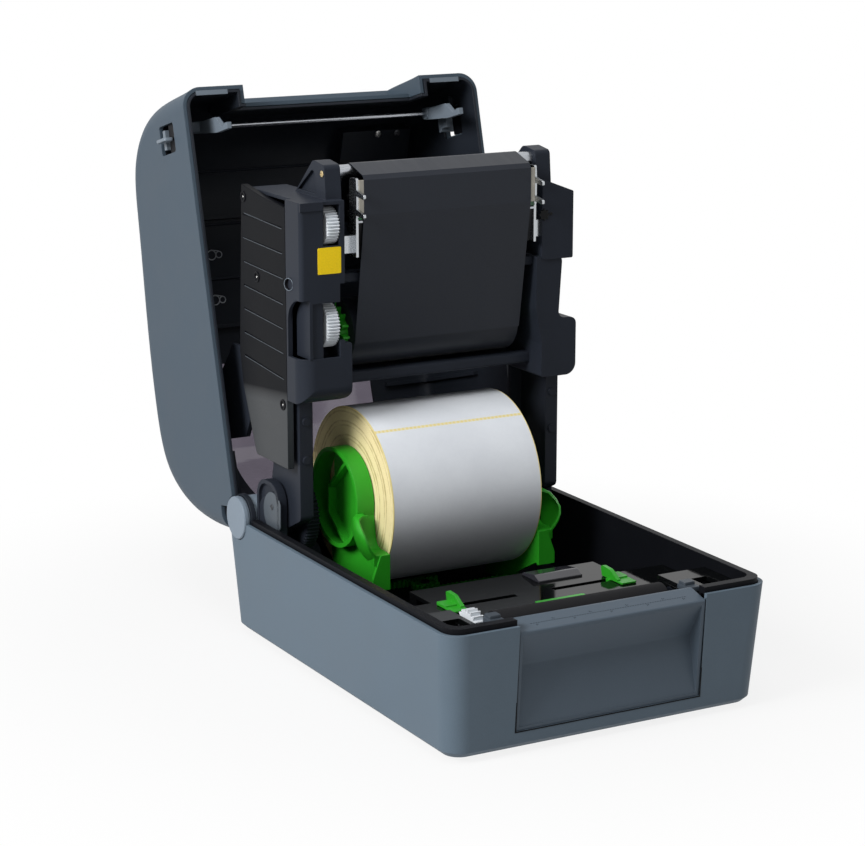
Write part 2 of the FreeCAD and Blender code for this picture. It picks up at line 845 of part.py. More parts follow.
def make_guides():
    low = platform_top - platform_wall
    radius = guide_pinion_teeth * rack_module / 2
    z1 = low - 0.5
    z0 = z1 - rack_height
    for node, side in (("media_guide_left", -1), ("media_guide_right", 1)):
        x = side * guide_half
        low_z, high_z = platform_top + 0.3, platform_top + guide_height
        back, front = guide_y + guide_length / 2, guide_y - guide_length / 2
        fin = [(front, low_z), (back, low_z), (back + 1.5, high_z, 1.5), (guide_y, high_z - 0.5, 8.0)]
        fin += [(front, low_z + 1.5)]
        guide = prism_x(fin, x - 1.2, x + 1.2)
        x0, x1 = sorted((x - side * 1.2, x + side * 9))
        sole = prism_z(rectangle(x0, x1, guide_y - 4, guide_y + 6, 1.0), low_z, low_z + 1.6)
        tongue = prism_z(rectangle(x0, x1, front - 5, guide_y - 3, 1.0), low_z, low_z + 0.9)
        neck = box(x - 2.5, x + 2.5, guide_y - 1.8, guide_y + 1.8, z0, platform_top + 0.5)
        pitch_y = guide_y - side * radius
        x0, x1 = sorted((x + side * 2.5, -side * rack_overrun))
        bar = rack(x0, x1, pitch_y, -side, rack_module, rack_depth, z0, z1)
        edge0, edge1 = sorted((guide_y - side * 1.8, pitch_y - side * rack_depth))
        bridge = box(x - 2.5, x + 2.5, edge0, edge1, z0, z1)
        export(guide.fuse(sole).fuse(tongue).fuse(neck).fuse(bridge).fuse(bar), node)
    pinion = gear_z(0, guide_y, guide_pinion_teeth, rack_module, math.pi / 2, 2.0 + run_gap, z0, z1)
    export(pinion, "guide_pinion")


def make_holders():
    z0 = tray_floor + 0.5
    z1 = z0 + rack_height
    radius = holder_pinion_teeth * rack_module / 2
    inner = roll_half + holder_gap
    for node, side in (("roll_holder_left", -1), ("roll_holder_right", 1)):
        holder = holder_body(z0, z1)
        if side < 0:
            bar = rack(-inner - 1, rack_overrun, roll_y + radius, 1, rack_module, rack_depth, z0, z1)
            holder = mirror(holder).fuse(bar)
        else:
            bar = rack(-rack_overrun, inner + 1, roll_y - radius, -1, rack_module, rack_depth, z0, z1)
            holder = holder.fuse(bar)
        export(holder, node)
    pinion = gear_z(0, roll_y, holder_pinion_teeth, rack_module, math.pi / 2, 2.5 + run_gap, z0, z1)
    export(pinion, "holder_pinion")


def holder_rib(start, end, x0, x1):
    # Straight wall on a holder's web between two points given from the roll's axis
    dy, dz = end[0] - start[0], end[1] - start[1]
    wall = box(x0, x1, 0, math.hypot(dy, dz), -1, 1)
    wall.rotate(V(0, 0, 0), V(1, 0, 0), math.degrees(math.atan2(dz, dy)))
    wall.translate(V(0, roll_y + start[0], roll_z + start[1]))
    return wall.fuse(rod_x(roll_y + end[0], roll_z + end[1], 1.0, x0, x1))


def holder_body(z0, z1):
    # One roll holder, on the right: a deep ribbed ring on a skirt, with a scoop down to its front post
    inner = roll_half + holder_gap
    outer = inner + holder_width
    face = inner + holder_web
    ring = tube_x(roll_y, roll_z, holder_ring, holder_ring - holder_ring_wall, inner, outer)
    web = rod_x(roll_y, roll_z, holder_ring, inner, face)
    hub = rod_x(roll_y, roll_z, holder_hub, inner - holder_hub_length, face)
    hub = hub.cut(rod_x(roll_y, roll_z, holder_hub - 3, inner - holder_hub_length - 1, inner))
    edge = holder_hub + 2
    gap = rod_x(roll_y, roll_z, holder_ring - holder_ring_wall, inner - 1, face + 1)
    gap = gap.cut(box(0, half_width, 0, roll_y + edge + 1, 0, frame_top))
    holder = ring.fuse(web.cut(gap)).fuse(hub)
    reach = holder_ring - holder_ring_wall / 2
    bends = [(-0.44 * reach, 0.898 * reach), (edge, 3.0), (edge, -13.0), (-0.28 * reach, -0.96 * reach)]
    for start, end in zip(bends, bends[1:]):
        holder = holder.fuse(holder_rib(start, end, face - 0.5, outer - 3))
    front = post_front_y + 1
    brow = [(roll_y - holder_ring + 1, roll_z - 2), (roll_y - holder_ring - 3, scoop_low, 7.0)]
    brow += [(front + 4, scoop_low, 5.0), (front, post_top)]
    skirt = [(roll_y, roll_z)] + brow + [(front, post_foot + 2), (roll_y - 24, z1 + 6, 8.0)]
    skirt += [(roll_y - holder_foot_half, z0), (roll_y + holder_foot_half, z0), (roll_y + 24, roll_z - 12)]
    holder = holder.fuse(prism_x(skirt, inner, face))
    under = [(front, post_top - 6), (front + 4.5, scoop_low - 2.4, 5.0)]
    under += [(roll_y - holder_ring - 2, scoop_low - 2.4, 7.0), (roll_y - holder_ring + 3.5, roll_z - 4)]
    holder = holder.fuse(prism_x(brow + under, inner, outer - 1))
    post = [(inner, post_foot), (outer, post_foot), (outer, post_foot + 7, 2.0)]
    post += [(outer - 5, post_top, 1.5), (inner, post_top)]
    holder = holder.fuse(prism_y(post, post_front_y, post_front_y + 2.5))
    return holder.fuse(box(inner, outer - 2, roll_y - holder_foot_half, roll_y + holder_foot_half, z0, z1))


def make_label_roll():
    export(tube_x(roll_y, roll_z, roll_radius, core_radius, -roll_half, roll_half), "label_roll")
    export(tube_x(roll_y, roll_z, core_radius, core_bore, -roll_half, roll_half), "label_core")


def middle_block(x):
    return box(-x, x, -2 * body_depth, 2 * body_depth, -2 * body_depth, 2 * body_depth)


def make_cover():
    shell = cover_solid(0, 0, 0).cut(exit_notch(0))
    hollow = cover_solid(shell_wall, 20, shell_wall).cut(exit_notch(shell_wall))
    relief = hinge_relief(slip_gap)
    plan = rectangle(cover_front - 30, cover_front + 5, -20, exit_sill)
    sill = cover_prism(plan, -exit_half_width, exit_half_width)
    skin = shell.cut(hollow).cut(relief).cut(sill)
    window = skin.common(window_block(0, 0))
    skin = skin.cut(window_block(0.2, 0))
    reach = half_width + 5
    skin = skin.cut(latch_window(0, -reach, reach).cut(middle_block(half_width - 12)))
    skin = skin.cut(panel_rod(button_radius + slip_gap, -10, 10, 0))
    skin = skin.cut(panel_rod(lens_radius + slip_gap / 2, -10, 10, lens_offset))
    export(open_cover(skin), "cover_shell")
    export(open_cover(window), "cover_window")
    export(open_cover(make_liner(relief, sill)), "cover_liner")


def make_liner(relief, sill):
    inset = shell_wall + slip_gap
    inner = inset + liner_wall
    reach = half_width + 5
    liner = cover_solid(inset, 0.8, shell_wall).cut(exit_notch(inset))
    liner = liner.cut(cover_solid(inner, 20, shell_wall + liner_wall).cut(exit_notch(inner)))
    liner = liner.cut(relief).cut(sill).cut(window_block(-4.0, -4.0))
    liner = liner.cut(latch_window(1.0, -reach, reach).cut(middle_block(half_width - 14)))
    liner = liner.cut(panel_block(housing_half + slip_gap, -40, 10))
    ear_plan = [(40, 6), (12, 4.5), (0, 0), (4, 13), (30, 45)]
    ear = cover_prism(ear_plan, ear_x(), ear_x() + ear_thickness)
    ear = ear.fuse(rod_x(hinge_y, hinge_z, ear_radius, ear_x(), ear_x() + ear_thickness))
    ear = ear.cut(rod_x(hinge_y, hinge_z, journal_radius() + run_gap, ear_x() - 1, half_width))
    rod_y0, rod_z0 = cover_point(latch_rod_s, latch_rod_h)
    arm_plan = rectangle(latch_rod_s - 3.2, latch_rod_s + 10, latch_rod_h - 3.2, latch_rod_h + 3.2, 1.5)
    arm = cover_prism(arm_plan, latch_outer_x() + swing_gap, liner_inner_x() + 0.3)
    arm = arm.cut(rod_x(rod_y0, rod_z0, latch_rod_radius + run_gap, 0, half_width))
    for piece in (ear, arm):
        liner = liner.fuse(piece).fuse(mirror(piece))
    for s in (70.0, 120.0, 190.0):
        liner = liner.fuse(cover_ridge(s, inner))
    return liner


def latch_outer_x():
    return liner_inner_x() - 3.4


def cover_ridge(s, inset):
    band = cover_prism(rectangle(s - 1.2, s + 1.2, 40, cover_crown + 20), -half_width, half_width)
    ring = cover_solid(inset - 0.3, 20, inset - 0.7).cut(cover_solid(inset + 3.0, 20, inset + 3.0))
    return ring.common(band).cut(window_block(6.0, 6.0))


def panel_spot():
    # Middle of the feed button on the sloping front of the cover's top
    return cover_front - 30.0, cover_crown - 17.0


def panel_axes():
    # The button's place on the cover's skin, the way along the skin and the way out of it
    curve, points = cover_curve()
    spot = V(0, *cover_point(*panel_spot()))
    way = curve.tangent(curve.parameter(spot))[0]
    return spot, way, V(0, -way.z, way.y)


def panel_rod(radius, low, high, along):
    # Cylinder square to the cover's skin at the panel, offset sideways
    spot, way, normal = panel_axes()
    start = spot + normal * low + V(button_x - along, 0, 0)
    return Part.makeCylinder(radius, high - low, start, normal)


def panel_block(half, low, high):
    # Block square to the cover's skin at the panel
    spot, way, normal = panel_axes()
    ends = ((-half, low), (half, low), (half, high), (-half, high))
    start = button_x - 2 * lens_offset + 2
    points = [spot + way * u + normal * w + V(start, 0, 0) for u, w in ends]
    outline = Part.makePolygon(points + points[:1])
    return Part.Face(outline).extrude(V(half_width - 12.0 - start, 0, 0))


def make_cover_fittings():
    flange = button_radius + button_flange
    button = panel_rod(button_radius, -4.0, button_rise, 0).fuse(panel_rod(flange, -5.4, -3.6, 0))
    export(open_cover(button), "feed_button")
    export(open_cover(panel_rod(lens_radius, -lens_depth, 0.3, lens_offset)), "status_lens")
    inset = shell_wall + slip_gap
    housing = panel_block(housing_half, -housing_depth, 10).common(cover_solid(inset, 0, inset))
    housing = housing.cut(panel_rod(flange + slip_gap, -5.4 - button_travel - slip_gap, 10, 0))
    housing = housing.cut(panel_rod(lens_radius + slip_gap / 2, -lens_depth, 10, lens_offset))
    export(open_cover(housing), "panel_housing")


def make_latch():
    y, z = cover_point(latch_rod_s, latch_rod_h)
    outer = latch_outer_x()
    end = liner_inner_x() - 0.3
    rod = rod_x(y, z, latch_rod_radius, -end, end)
    tip, back = latch_hook_s + 2.5, latch_hook_s - 1.5
    hook = [(latch_rod_s + 3, latch_rod_h + 3.5, 2.0), (latch_rod_s + 2, 4, 3.0), (back + 2.2, -4)]
    hook += [(tip, -latch_hook_drop + 3), (tip, -latch_hook_drop), (back, -latch_hook_drop)]
    hook += [(back, 4, 3.0), (latch_rod_s - 3.5, latch_rod_h + 3.5, 2.0)]
    lever = cover_prism(hook, slot_x - latch_thickness / 2, slot_x + latch_thickness / 2)
    half = 3.5
    plan = rectangle(latch_rod_s - half, latch_rod_s + half, latch_rod_h - half, latch_rod_h + half, 1.5)
    beam = cover_prism(plan, slot_x - 2, outer)
    plan = rectangle(latch_hook_s - 6, latch_hook_s + 6, latch_rod_h + 4.5, latch_rod_h + 8)
    tab = cover_prism(plan, outer - 3, half_width - 0.4)
    plan = rectangle(latch_hook_s - 4, latch_rod_s + 2, latch_rod_h - 3, latch_rod_h + 8)
    web = cover_prism(plan, outer - 3, outer)
    arm = lever.fuse(beam).fuse(tab).fuse(web).cut(rod_x(y, z, latch_rod_radius, 0, half_width))
    export(open_cover(both_sides(arm)), "latch_levers")
    export(open_cover(rod), "latch_rod")


def head_plane():
    # Plane of the ribbon over the head, so that it lands on the platen when the carriage closes
    turn = math.radians(carriage_swing)
    span = (pivot_y - platen_y) * math.cos(turn) + (pivot_z - platen_z) * math.sin(turn)
    return pivot_y - (span - platen_radius - nip_gap)


def arm_plate(x0, x1):
    rear = arm_front_y + arm_width
    corners = [(arm_front_y, pivot_z + 4, 4.0), (arm_front_y, frame_bottom + 1), (rear, frame_bottom + 1)]
    corners += [(rear, pivot_z + 30, 8.0), (pivot_y + arm_boss_radius, pivot_z)]
    corners += [(pivot_y - 4, pivot_z - 10)]
    plate = prism_x(corners, x0, x1).fuse(rod_x(pivot_y, pivot_z, arm_boss_radius, x0, x1))
    return plate.cut(rod_x(pivot_y, pivot_z, pivot_pin_radius + run_gap, x0 - 1, x1 + 1))


def make_arm():
    # One swing arm with its two round bosses, on the right
    outer = arm_inner_x + arm_thickness
    arm = arm_plate(arm_inner_x, outer)
    for z in (pivot_z + 40, pivot_z + 63):
        arm = arm.fuse(rod_y(arm_inner_x + arm_thickness / 2, z, 2.5, arm_front_y - 1.2, arm_front_y + 3))
    return arm


def make_chassis():
    # Shelf, cross bar and back plate that tie the two frames together behind the ribbon
    low = chassis_shelf_z
    x = frame_inner_x
    shelf = box(-x, x, chassis_front_y + 4, chassis_rear_y, low, low + chassis_wall)
    bar = prism_x(rectangle(chassis_front_y, chassis_front_y + 8, low - 1, low + 6, 2.0), -x, x)
    plan = rectangle(cross_bar_y, cross_bar_y + 6, cross_bar_z, cross_bar_z + 5.5, 1.0)
    cross = prism_x(plan, -x, right_neck_x())
    back_y = chassis_rear_y - chassis_wall
    back = box(-x, x + 8, back_y, chassis_rear_y, low, chassis_top)
    return shelf.fuse(bar).fuse(cross).fuse(back)


def frame_corners(inset):
    front, rear = frame_front_y + inset, frame_rear_y - inset
    low, high = frame_bottom + inset, frame_top - inset
    return [(front, high), (front, low, 9.0 - inset), (rear, low, 6.0 - inset), (rear - 4, high)]


def thumb_point():
    # Upper thumbwheel, in mesh with the take-up gear
    turn = math.radians(thumb_angle)
    span = (takeup_teeth + thumb_teeth) * ribbon_module / 2 + mesh_gap
    return takeup_y + span * math.cos(turn), takeup_z + span * math.sin(turn)


def wheel_point():
    # Lower thumbwheel, in mesh with the supply gear
    turn = math.radians(wheel_angle)
    span = (supply_teeth + wheel_teeth) * ribbon_module / 2 + mesh_gap
    return supply_y + span * math.cos(turn), supply_z + span * math.sin(turn)


def casing(inset):
    # Front casing of the left frame, square above the shoulder and round-edged below it
    x0, x1 = -side_x() + inset, -frame_inner_x - inset
    y0, y1 = frame_front_y + inset, cheek_y - inset
    sides = [(x1, y0), (x1, y1), (x0, y1)]
    upper = prism_z([(x0, y0, 2.5 - inset)] + sides, shoulder_z, frame_top)
    lower = prism_z([(x0, y0, casing_round - inset)] + sides, frame_bottom, shoulder_z)
    return upper.fuse(lower).common(prism_x(frame_corners(inset), x0, x1))


def side_x():
    return frame_outer_x + side_cover_thickness


def right_neck_x():
    return frame_inner_x - 4.0


def make_left_frame():
    wall = frame_wall
    front, edge = frame_front_y, window_edge()
    behind = box(-half_width, 0, cheek_y - wall, frame_rear_y, 0, frame_top)
    frame = prism_x(frame_corners(0), -frame_outer_x, -frame_inner_x).common(behind).fuse(casing(0))
    hollow = prism_x(frame_corners(wall), -frame_outer_x - 1, -frame_inner_x - wall).common(behind)
    frame = frame.cut(hollow).cut(casing(wall)).fuse(front_lip())
    frame = frame.fuse(box(-side_x(), edge, front - 0.6, front + 1, frame_top - 5, frame_top))
    frame = frame.cut(finger_recess(-side_x() - 1, recess_x(), 1.0))
    frame = frame.fuse(finger_recess(recess_x(), recess_x() + wall, 0.0))
    back = front + 2 * wall
    frame = frame.fuse(box(recess_x(), edge, front + wall - 0.5, back, window_low, window_high))
    frame = frame.cut(box(recess_x() + wall, edge, front - 1, front + 1.2, window_low, window_high))
    inner_edge = -frame_inner_x - wall - 1.0
    for low, high in ((window_low, window_high), (window_upper, frame_top - wall)):
        frame = frame.cut(box(edge, inner_edge, front - 1, back + 1, low, high))
    frame = frame.cut(box(inner_edge, 0, front - 1, front + 13, window_low + 9.5, cross_bar_z + 1))
    for y, z in ((supply_y, supply_z), (takeup_y, takeup_z)):
        frame = frame.cut(rod_x(y, z, spindle_radius + run_gap, -frame_outer_x, 0))
    for y, z in (thumb_point(), wheel_point()):
        frame = frame.fuse(rod_x(y, z, 2.5, ribbon_gear_x - 1, -frame_inner_x))
    return frame.fuse(guide_post(-post_x)).fuse(mirror(make_arm()))


def recess_x():
    return window_edge() - 9.0


def window_edge():
    return ribbon_gear_x - 2.4


def finger_recess(x0, x1, ahead):
    # Corner beside the lower thumbwheel cut back under a round shoulder, so a finger can reach the wheel
    front, back = frame_front_y - ahead, cheek_y - frame_wall
    corners = [(front, window_low), (back, window_low), (back, shoulder_z, 14.0), (front, shoulder_z)]
    return prism_x(corners, x0, x1)


def front_lip():
    # Lower part of the front face that reaches in past the frame's inner wall
    x = -frame_inner_x
    edge = x + 4.4
    top = window_low + 8
    corners = [(x - 1, frame_bottom), (edge, frame_bottom, 6.0), (edge, top, 1.5), (x - 1, top)]
    lip = prism_y(corners, frame_front_y, frame_front_y + 5)
    return lip.common(prism_x(frame_corners(0), x - 2, edge + 1))


def guide_post(x):
    half = post_width / 2
    foot = frame_top - 3
    corners = [(guide_shaft_y - 9, foot), (guide_shaft_y - 7, guide_shaft_z + 5, 3.0)]
    corners += [(guide_shaft_y + 7, guide_shaft_z + 7, 5.0), (guide_shaft_y + 34, foot)]
    post = prism_x(corners, x - half, x + half)
    inward = -1 if x > 0 else 1
    x0, x1 = sorted((x - inward * 2, x + inward * (half + 1)))
    post = post.cut(rod_x(guide_shaft_y, guide_shaft_z, guide_shaft_radius, x0, x1))
    x0, x1 = sorted((x - inward * (half + 1), x - inward * (half - 2)))
    hollow = [(guide_shaft_y + 3, foot + 5), (guide_shaft_y + 6, guide_shaft_z + 3, 3.0)]
    hollow += [(guide_shaft_y + 27, foot + 5)]
    return post.cut(prism_x(hollow, x0, x1))


def make_side_cover():
    x0 = -side_x()
    front, rear = cheek_y + slip_gap, frame_rear_y
    foot = pivot_z + 35.5
    corners = [(front, frame_top - 5), (front, foot), (pivot_y + 12, foot, 3.0), (rear, frame_bottom - 3)]
    corners += [(rear + 4.5, frame_bottom + 18), (rear - 1.5, frame_top + 1.7)]
    corners += [(pivot_y - 1, frame_top - 2.3, 8.0)]
    plate = prism_x(corners, x0, -frame_outer_x)
    for row in range(7):
        z = frame_top - 16 - row * 14
        groove = box(x0 - 1, x0 + 0.6, front + 4, rear - 3, z, z + 0.8)
        groove.rotate(V(0, rear, z), V(1, 0, 0), 1 + 0.7 * row)
        plate = plate.cut(groove)
    return plate


def make_right_frame():
    front, rear = frame_front_y, chassis_rear_y - chassis_wall
    neck = right_neck_x()
    outer = frame_outer_x
    block, crown = outer - 3.5, frame_top + 2.5
    upper = [(frame_inner_x - 1, right_upper_z, 2.0), (block, right_upper_z, 1.0)]
    upper += [(block, frame_top - 5, 1.0), (frame_inner_x + 1, crown, 1.0), (frame_inner_x - 1, crown)]
    waist = [(neck, right_upper_z + 2), (neck, right_upper_z - 30, 8.0)]
    low, step = frame_bottom, frame_bottom + 35
    waist += [(frame_inner_x, low + 21, 4.0), (frame_inner_x, low, 1.5), (outer, low, 7.0)]
    waist += [(outer, step, 4.0), (outer - 12.5, step + 0.5, 4.0), (outer - 10, right_upper_z + 2, 4.0)]
    frame = prism_y(upper, front, rear).fuse(prism_y(waist, front + 1, rear))
    plan = rectangle(front + 8, rear - 8, right_upper_z + 8, frame_top - 14, 3.0)
    frame = frame.cut(prism_x(plan, outer - 9, outer))
    for y, z in ((supply_y, supply_z), (takeup_y, takeup_z)):
        frame = frame.cut(rod_x(y, z, spindle_radius + run_gap, 0, half_width))
    web_y = arm_front_y + 29
    web = box(arm_inner_x - 7.5, arm_inner_x + 1, web_y, web_y + 3, pivot_z + 40, frame_bottom + 1)
    return frame.fuse(guide_post(post_x)).fuse(make_arm()).fuse(web)


def make_head():
    plane = head_plane()
    face = plane + ribbon_thickness
    low = head_top - head_height
    x = bracket_x
    head = box(-x, x, face, face + head_thickness, low, head_top)
    export(head, "print_head")
    sink_y = face + head_thickness
    plan = [(sink_y, low - 2), (sink_y, head_top - 2), (sink_y + 8, head_top - 2)]
    plan += [(sink_y + 8, low - 24), (sink_y + 4.4, low - 24)]
    sink = prism_x(plan, -x, x)
    for row in range(4):
        z = low - 20 + row * 9
        sink = sink.fuse(box(-x, x, sink_y + 7.5, sink_y + 14, z, z + 3))
    export(sink, "head_heatsink")
    hook = [(sink_y + 8, low - 24), (sink_y - 0.5, low - 24), (sink_y - 0.5, low - 2)]
    for z in (head_top - 17, head_top - 6):
        hook += [(face + 0.5, z - 3), (plane - 8, z - 4, 1.0)]
        hook += [(plane - 8, z - 1.5, 1.0), (face + 0.5, z + 0.5)]
    hook += [(face + 1, head_top + 1, 1.0), (sink_y + 8, head_top + 1, 3.0)]
    plate = prism_x(hook, bracket_x, bracket_x + bracket_thickness)
    right = plate.fuse(box(bracket_x, frame_inner_x - 1, sink_y + 4, sink_y + 7, low - 22, low - 12))
    left = mirror(plate).fuse(box(-frame_inner_x, -bracket_x, sink_y + 4, sink_y + 7, low - 22, low - 12))
    export(Part.makeCompound([left, right]), "head_brackets")


def tangent_point(centre, radius, point, side):
    # Where a straight run from a point touches a round of given radius, on one side of it
    du, dv = point[0] - centre[0], point[1] - centre[1]
    turn = math.atan2(dv, du) + side * math.acos(radius / math.hypot(du, dv))
    return centre[0] + radius * math.cos(turn), centre[1] + radius * math.sin(turn)


def outer_tangent(first, r1, second, r2):
    # Straight run over the upper rear of two rounds
    du, dv = second[0] - first[0], second[1] - first[1]
    span = math.hypot(du, dv)
    along = (r1 - r2) / span
    across = math.sqrt(1 - along * along)
    n = ((du * along - dv * across) / span, (dv * along + du * across) / span)
    return (first[0] + r1 * n[0], first[1] + r1 * n[1]), (second[0] + r2 * n[0], second[1] + r2 * n[1])


def web_path():
    # Ribbon run from the supply roll, over the head and the guide shaft, to the take-up roll
    plane = head_plane() + ribbon_thickness / 2
    rest = ribbon_thickness / 2 + ribbon_gap
    head_low = (plane, head_top - head_height)
    head_lip = (plane + 2.0, head_top + 2.5)
    start = tangent_point((supply_y, supply_z), supply_radius + rest, head_low, 1)
    shaft = (guide_shaft_y, guide_shaft_z)
    over = guide_shaft_radius + ribbon_thickness / 2 + slip_gap
    onto = tangent_point(shaft, over, head_lip, -1)
    leave, end = outer_tangent(shaft, over, (takeup_y, takeup_z), takeup_radius + rest)
    first = math.atan2(onto[1] - shaft[1], onto[0] - shaft[0])
    last = math.atan2(leave[1] - shaft[1], leave[0] - shaft[0])
    wrap = []
    for step in range(1, 6):
        turn = first + (last - first) * step / 6
        wrap.append((shaft[0] + over * math.cos(turn), shaft[1] + over * math.sin(turn)))
    return [start, head_low, (plane, head_top), head_lip, onto] + wrap + [leave, end]


def make_web():
    half = ribbon_thickness / 2
    path = web_path()
    left, right = [], []
    for i, (y, z) in enumerate(path):
        before = path[max(i - 1, 0)]
        after = path[min(i + 1, len(path) - 1)]
        a = unit(after[0] - before[0], after[1] - before[1])
        left.append((y - a[1] * half, z + a[0] * half))
        right.append((y + a[1] * half, z - a[0] * half))
    return prism_x(left + right[::-1], -ribbon_half, ribbon_half)


def make_ribbon():
    x0, x1 = ribbon_gear_x, ribbon_gear_x + ribbon_gear_width
    far = frame_inner_x + 8
    takeup = ("takeup_gear", takeup_y, takeup_z, takeup_teeth)
    supply = ("supply_gear", supply_y, supply_z, supply_teeth)
    trains = ((takeup, "thumb_gear", thumb_point(), thumb_teeth, thumb_angle),
              (supply, "supply_wheel", wheel_point(), wheel_teeth, wheel_angle))
    for (node, y, z, teeth), mate, spot, mate_teeth, angle in trains:
        turn = math.radians(angle)
        phase = mesh_phase(turn, teeth, turn, mate_teeth)
        export(gear_x(y, z, teeth, ribbon_module, turn, spindle_radius, x0, x1), node)
        export(gear_x(*spot, mate_teeth, ribbon_module, phase, 2.5 + run_gap, x0, x1), mate)
    spindles = (("supply_spindle", supply_y, supply_z, 12.0), ("takeup_spindle", takeup_y, takeup_z, 11.0))
    for node, y, z, core in spindles:
        shaft = rod_x(y, z, spindle_radius, x0 - 2, far)
        drum = rod_x(y, z, core, -ribbon_half - 4, ribbon_half + 4)
        outline = [(y + u, z + v) for u, v in gear_outline(16, 2 * (core + 4) / 16, 0.0)]
        flange = prism_x(outline, -ribbon_half - 6, -ribbon_half - 2)
        export(shaft.fuse(drum).fuse(flange), node)
    export(tube_x(supply_y, supply_z, supply_radius, 12.0, -ribbon_half, ribbon_half), "ribbon_supply_roll")
    export(tube_x(takeup_y, takeup_z, takeup_radius, 11.0, -ribbon_half, ribbon_half), "ribbon_takeup_roll")
    reach = post_x + 2
    export(rod_x(guide_shaft_y, guide_shaft_z, guide_shaft_radius, -reach, reach), "ribbon_guide_shaft")
    export(make_web(), "ribbon_web")


def damper_point():
    span = (hinge_gear_teeth + damper_teeth) * hinge_gear_module / 2 + mesh_gap
    return pivot_y, pivot_z - span


def make_damper():
    x0, x1 = hinge_gear_x, hinge_gear_x + hinge_gear_width
    down = -math.pi / 2
    bore = pivot_pin_radius + run_gap
    wheel = gear_x(pivot_y, pivot_z, hinge_gear_teeth, hinge_gear_module, down, bore, x0, x1)
    collar = tube_x(pivot_y, pivot_z, 10.0, bore, -arm_inner_x, x0)
    export(wheel.fuse(collar), "hinge_gear")
    y, z = damper_point()
    phase = mesh_phase(down, hinge_gear_teeth, down, damper_teeth)
    pinion = gear_x(y, z, damper_teeth, hinge_gear_module, phase, 1.5, x0, x1)
    export(pinion.fuse(rod_x(y, z, 1.5, x0, x1 + 4)), "damper_pinion")
    body = rod_x(y, z, 9.0, x1 + 1, x1 + 8)
    stand = box(x1 + 1, x1 + 8, y - 9, y + 9, tray_floor, z)
    export(body.fuse(stand).cut(rod_x(y, z, 1.5 + run_gap, x1, x1 + 5)), "damper_body")


middle_y = (front_y + rear_reach()) / 2
os.makedirs("parts", exist_ok=True)
export(make_base_shell(), "base_shell")
export(make_media_tray(), "media_tray")
export(make_front_panel(), "front_panel")
export(make_front_deck(), "front_deck")
export(make_media_platform(), "media_platform")
export(make_feet(), "rubber_feet")
export(make_hinge_barrels(), "hinge_barrels")
export(make_pivot_housings(), "pivot_housings")
export(make_pivot_pins(), "pivot_pins")
export(make_platen_bushes(), "platen_bushes")
make_drive()
make_platen()
make_electronics()
make_switch()
make_sensor()
make_guides()
make_holders()
make_label_roll()
make_cover()
make_cover_fittings()
make_latch()
export(make_chassis(), "carriage_chassis")
export(make_left_frame(), "carriage_left_frame")
export(make_side_cover(), "carriage_side_cover")
export(make_right_frame(), "carriage_right_frame")
make_head()
make_ribbon()
make_damper()
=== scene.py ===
import math

import bmesh
import bpy
from mathutils import Matrix, Vector


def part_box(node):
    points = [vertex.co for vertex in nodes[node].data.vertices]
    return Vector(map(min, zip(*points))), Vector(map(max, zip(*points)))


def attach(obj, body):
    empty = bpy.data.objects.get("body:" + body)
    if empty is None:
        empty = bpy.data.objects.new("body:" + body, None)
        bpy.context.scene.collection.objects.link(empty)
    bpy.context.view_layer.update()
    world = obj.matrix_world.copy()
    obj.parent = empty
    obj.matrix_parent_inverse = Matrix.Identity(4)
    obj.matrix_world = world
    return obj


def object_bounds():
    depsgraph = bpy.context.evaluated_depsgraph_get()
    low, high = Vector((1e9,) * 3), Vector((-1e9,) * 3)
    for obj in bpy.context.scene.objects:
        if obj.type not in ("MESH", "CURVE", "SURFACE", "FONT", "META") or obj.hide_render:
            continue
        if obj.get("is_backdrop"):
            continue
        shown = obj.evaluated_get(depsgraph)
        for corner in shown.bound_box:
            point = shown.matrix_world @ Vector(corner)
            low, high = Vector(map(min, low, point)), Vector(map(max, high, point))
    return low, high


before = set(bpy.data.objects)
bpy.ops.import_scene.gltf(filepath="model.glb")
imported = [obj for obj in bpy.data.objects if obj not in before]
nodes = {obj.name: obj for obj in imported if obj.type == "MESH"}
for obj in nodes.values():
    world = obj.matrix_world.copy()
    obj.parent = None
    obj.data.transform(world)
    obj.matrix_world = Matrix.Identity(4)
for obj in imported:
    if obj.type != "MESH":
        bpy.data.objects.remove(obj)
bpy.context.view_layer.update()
scene = bpy.context.scene
MM = 0.001
SHARP_EDGE = math.radians(38)
ROUND_COUNT = 28
SIDES = ((-1, "left"), (1, "right"))
base_low, base_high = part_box("base_shell")
base_middle_y = (base_low[1] + base_high[1]) / 2


def at(x, y, z):
    # A place in millimetres, measured from the middle of the base on the floor
    return Vector((x * MM, base_middle_y + y * MM, z * MM))


def linear(r, g, b):
    # sRGB 0-255 to linear colour
    out = []
    for c in (r, g, b):
        c = c / 255.0
        out.append(c / 12.92 if c <= 0.04045 else ((c + 0.055) / 1.055) ** 2.4)
    return (out[0], out[1], out[2], 1.0)


def scaled(colour, factor):
    return (colour[0] * factor, colour[1] * factor, colour[2] * factor, 1.0)


# Node graph helpers

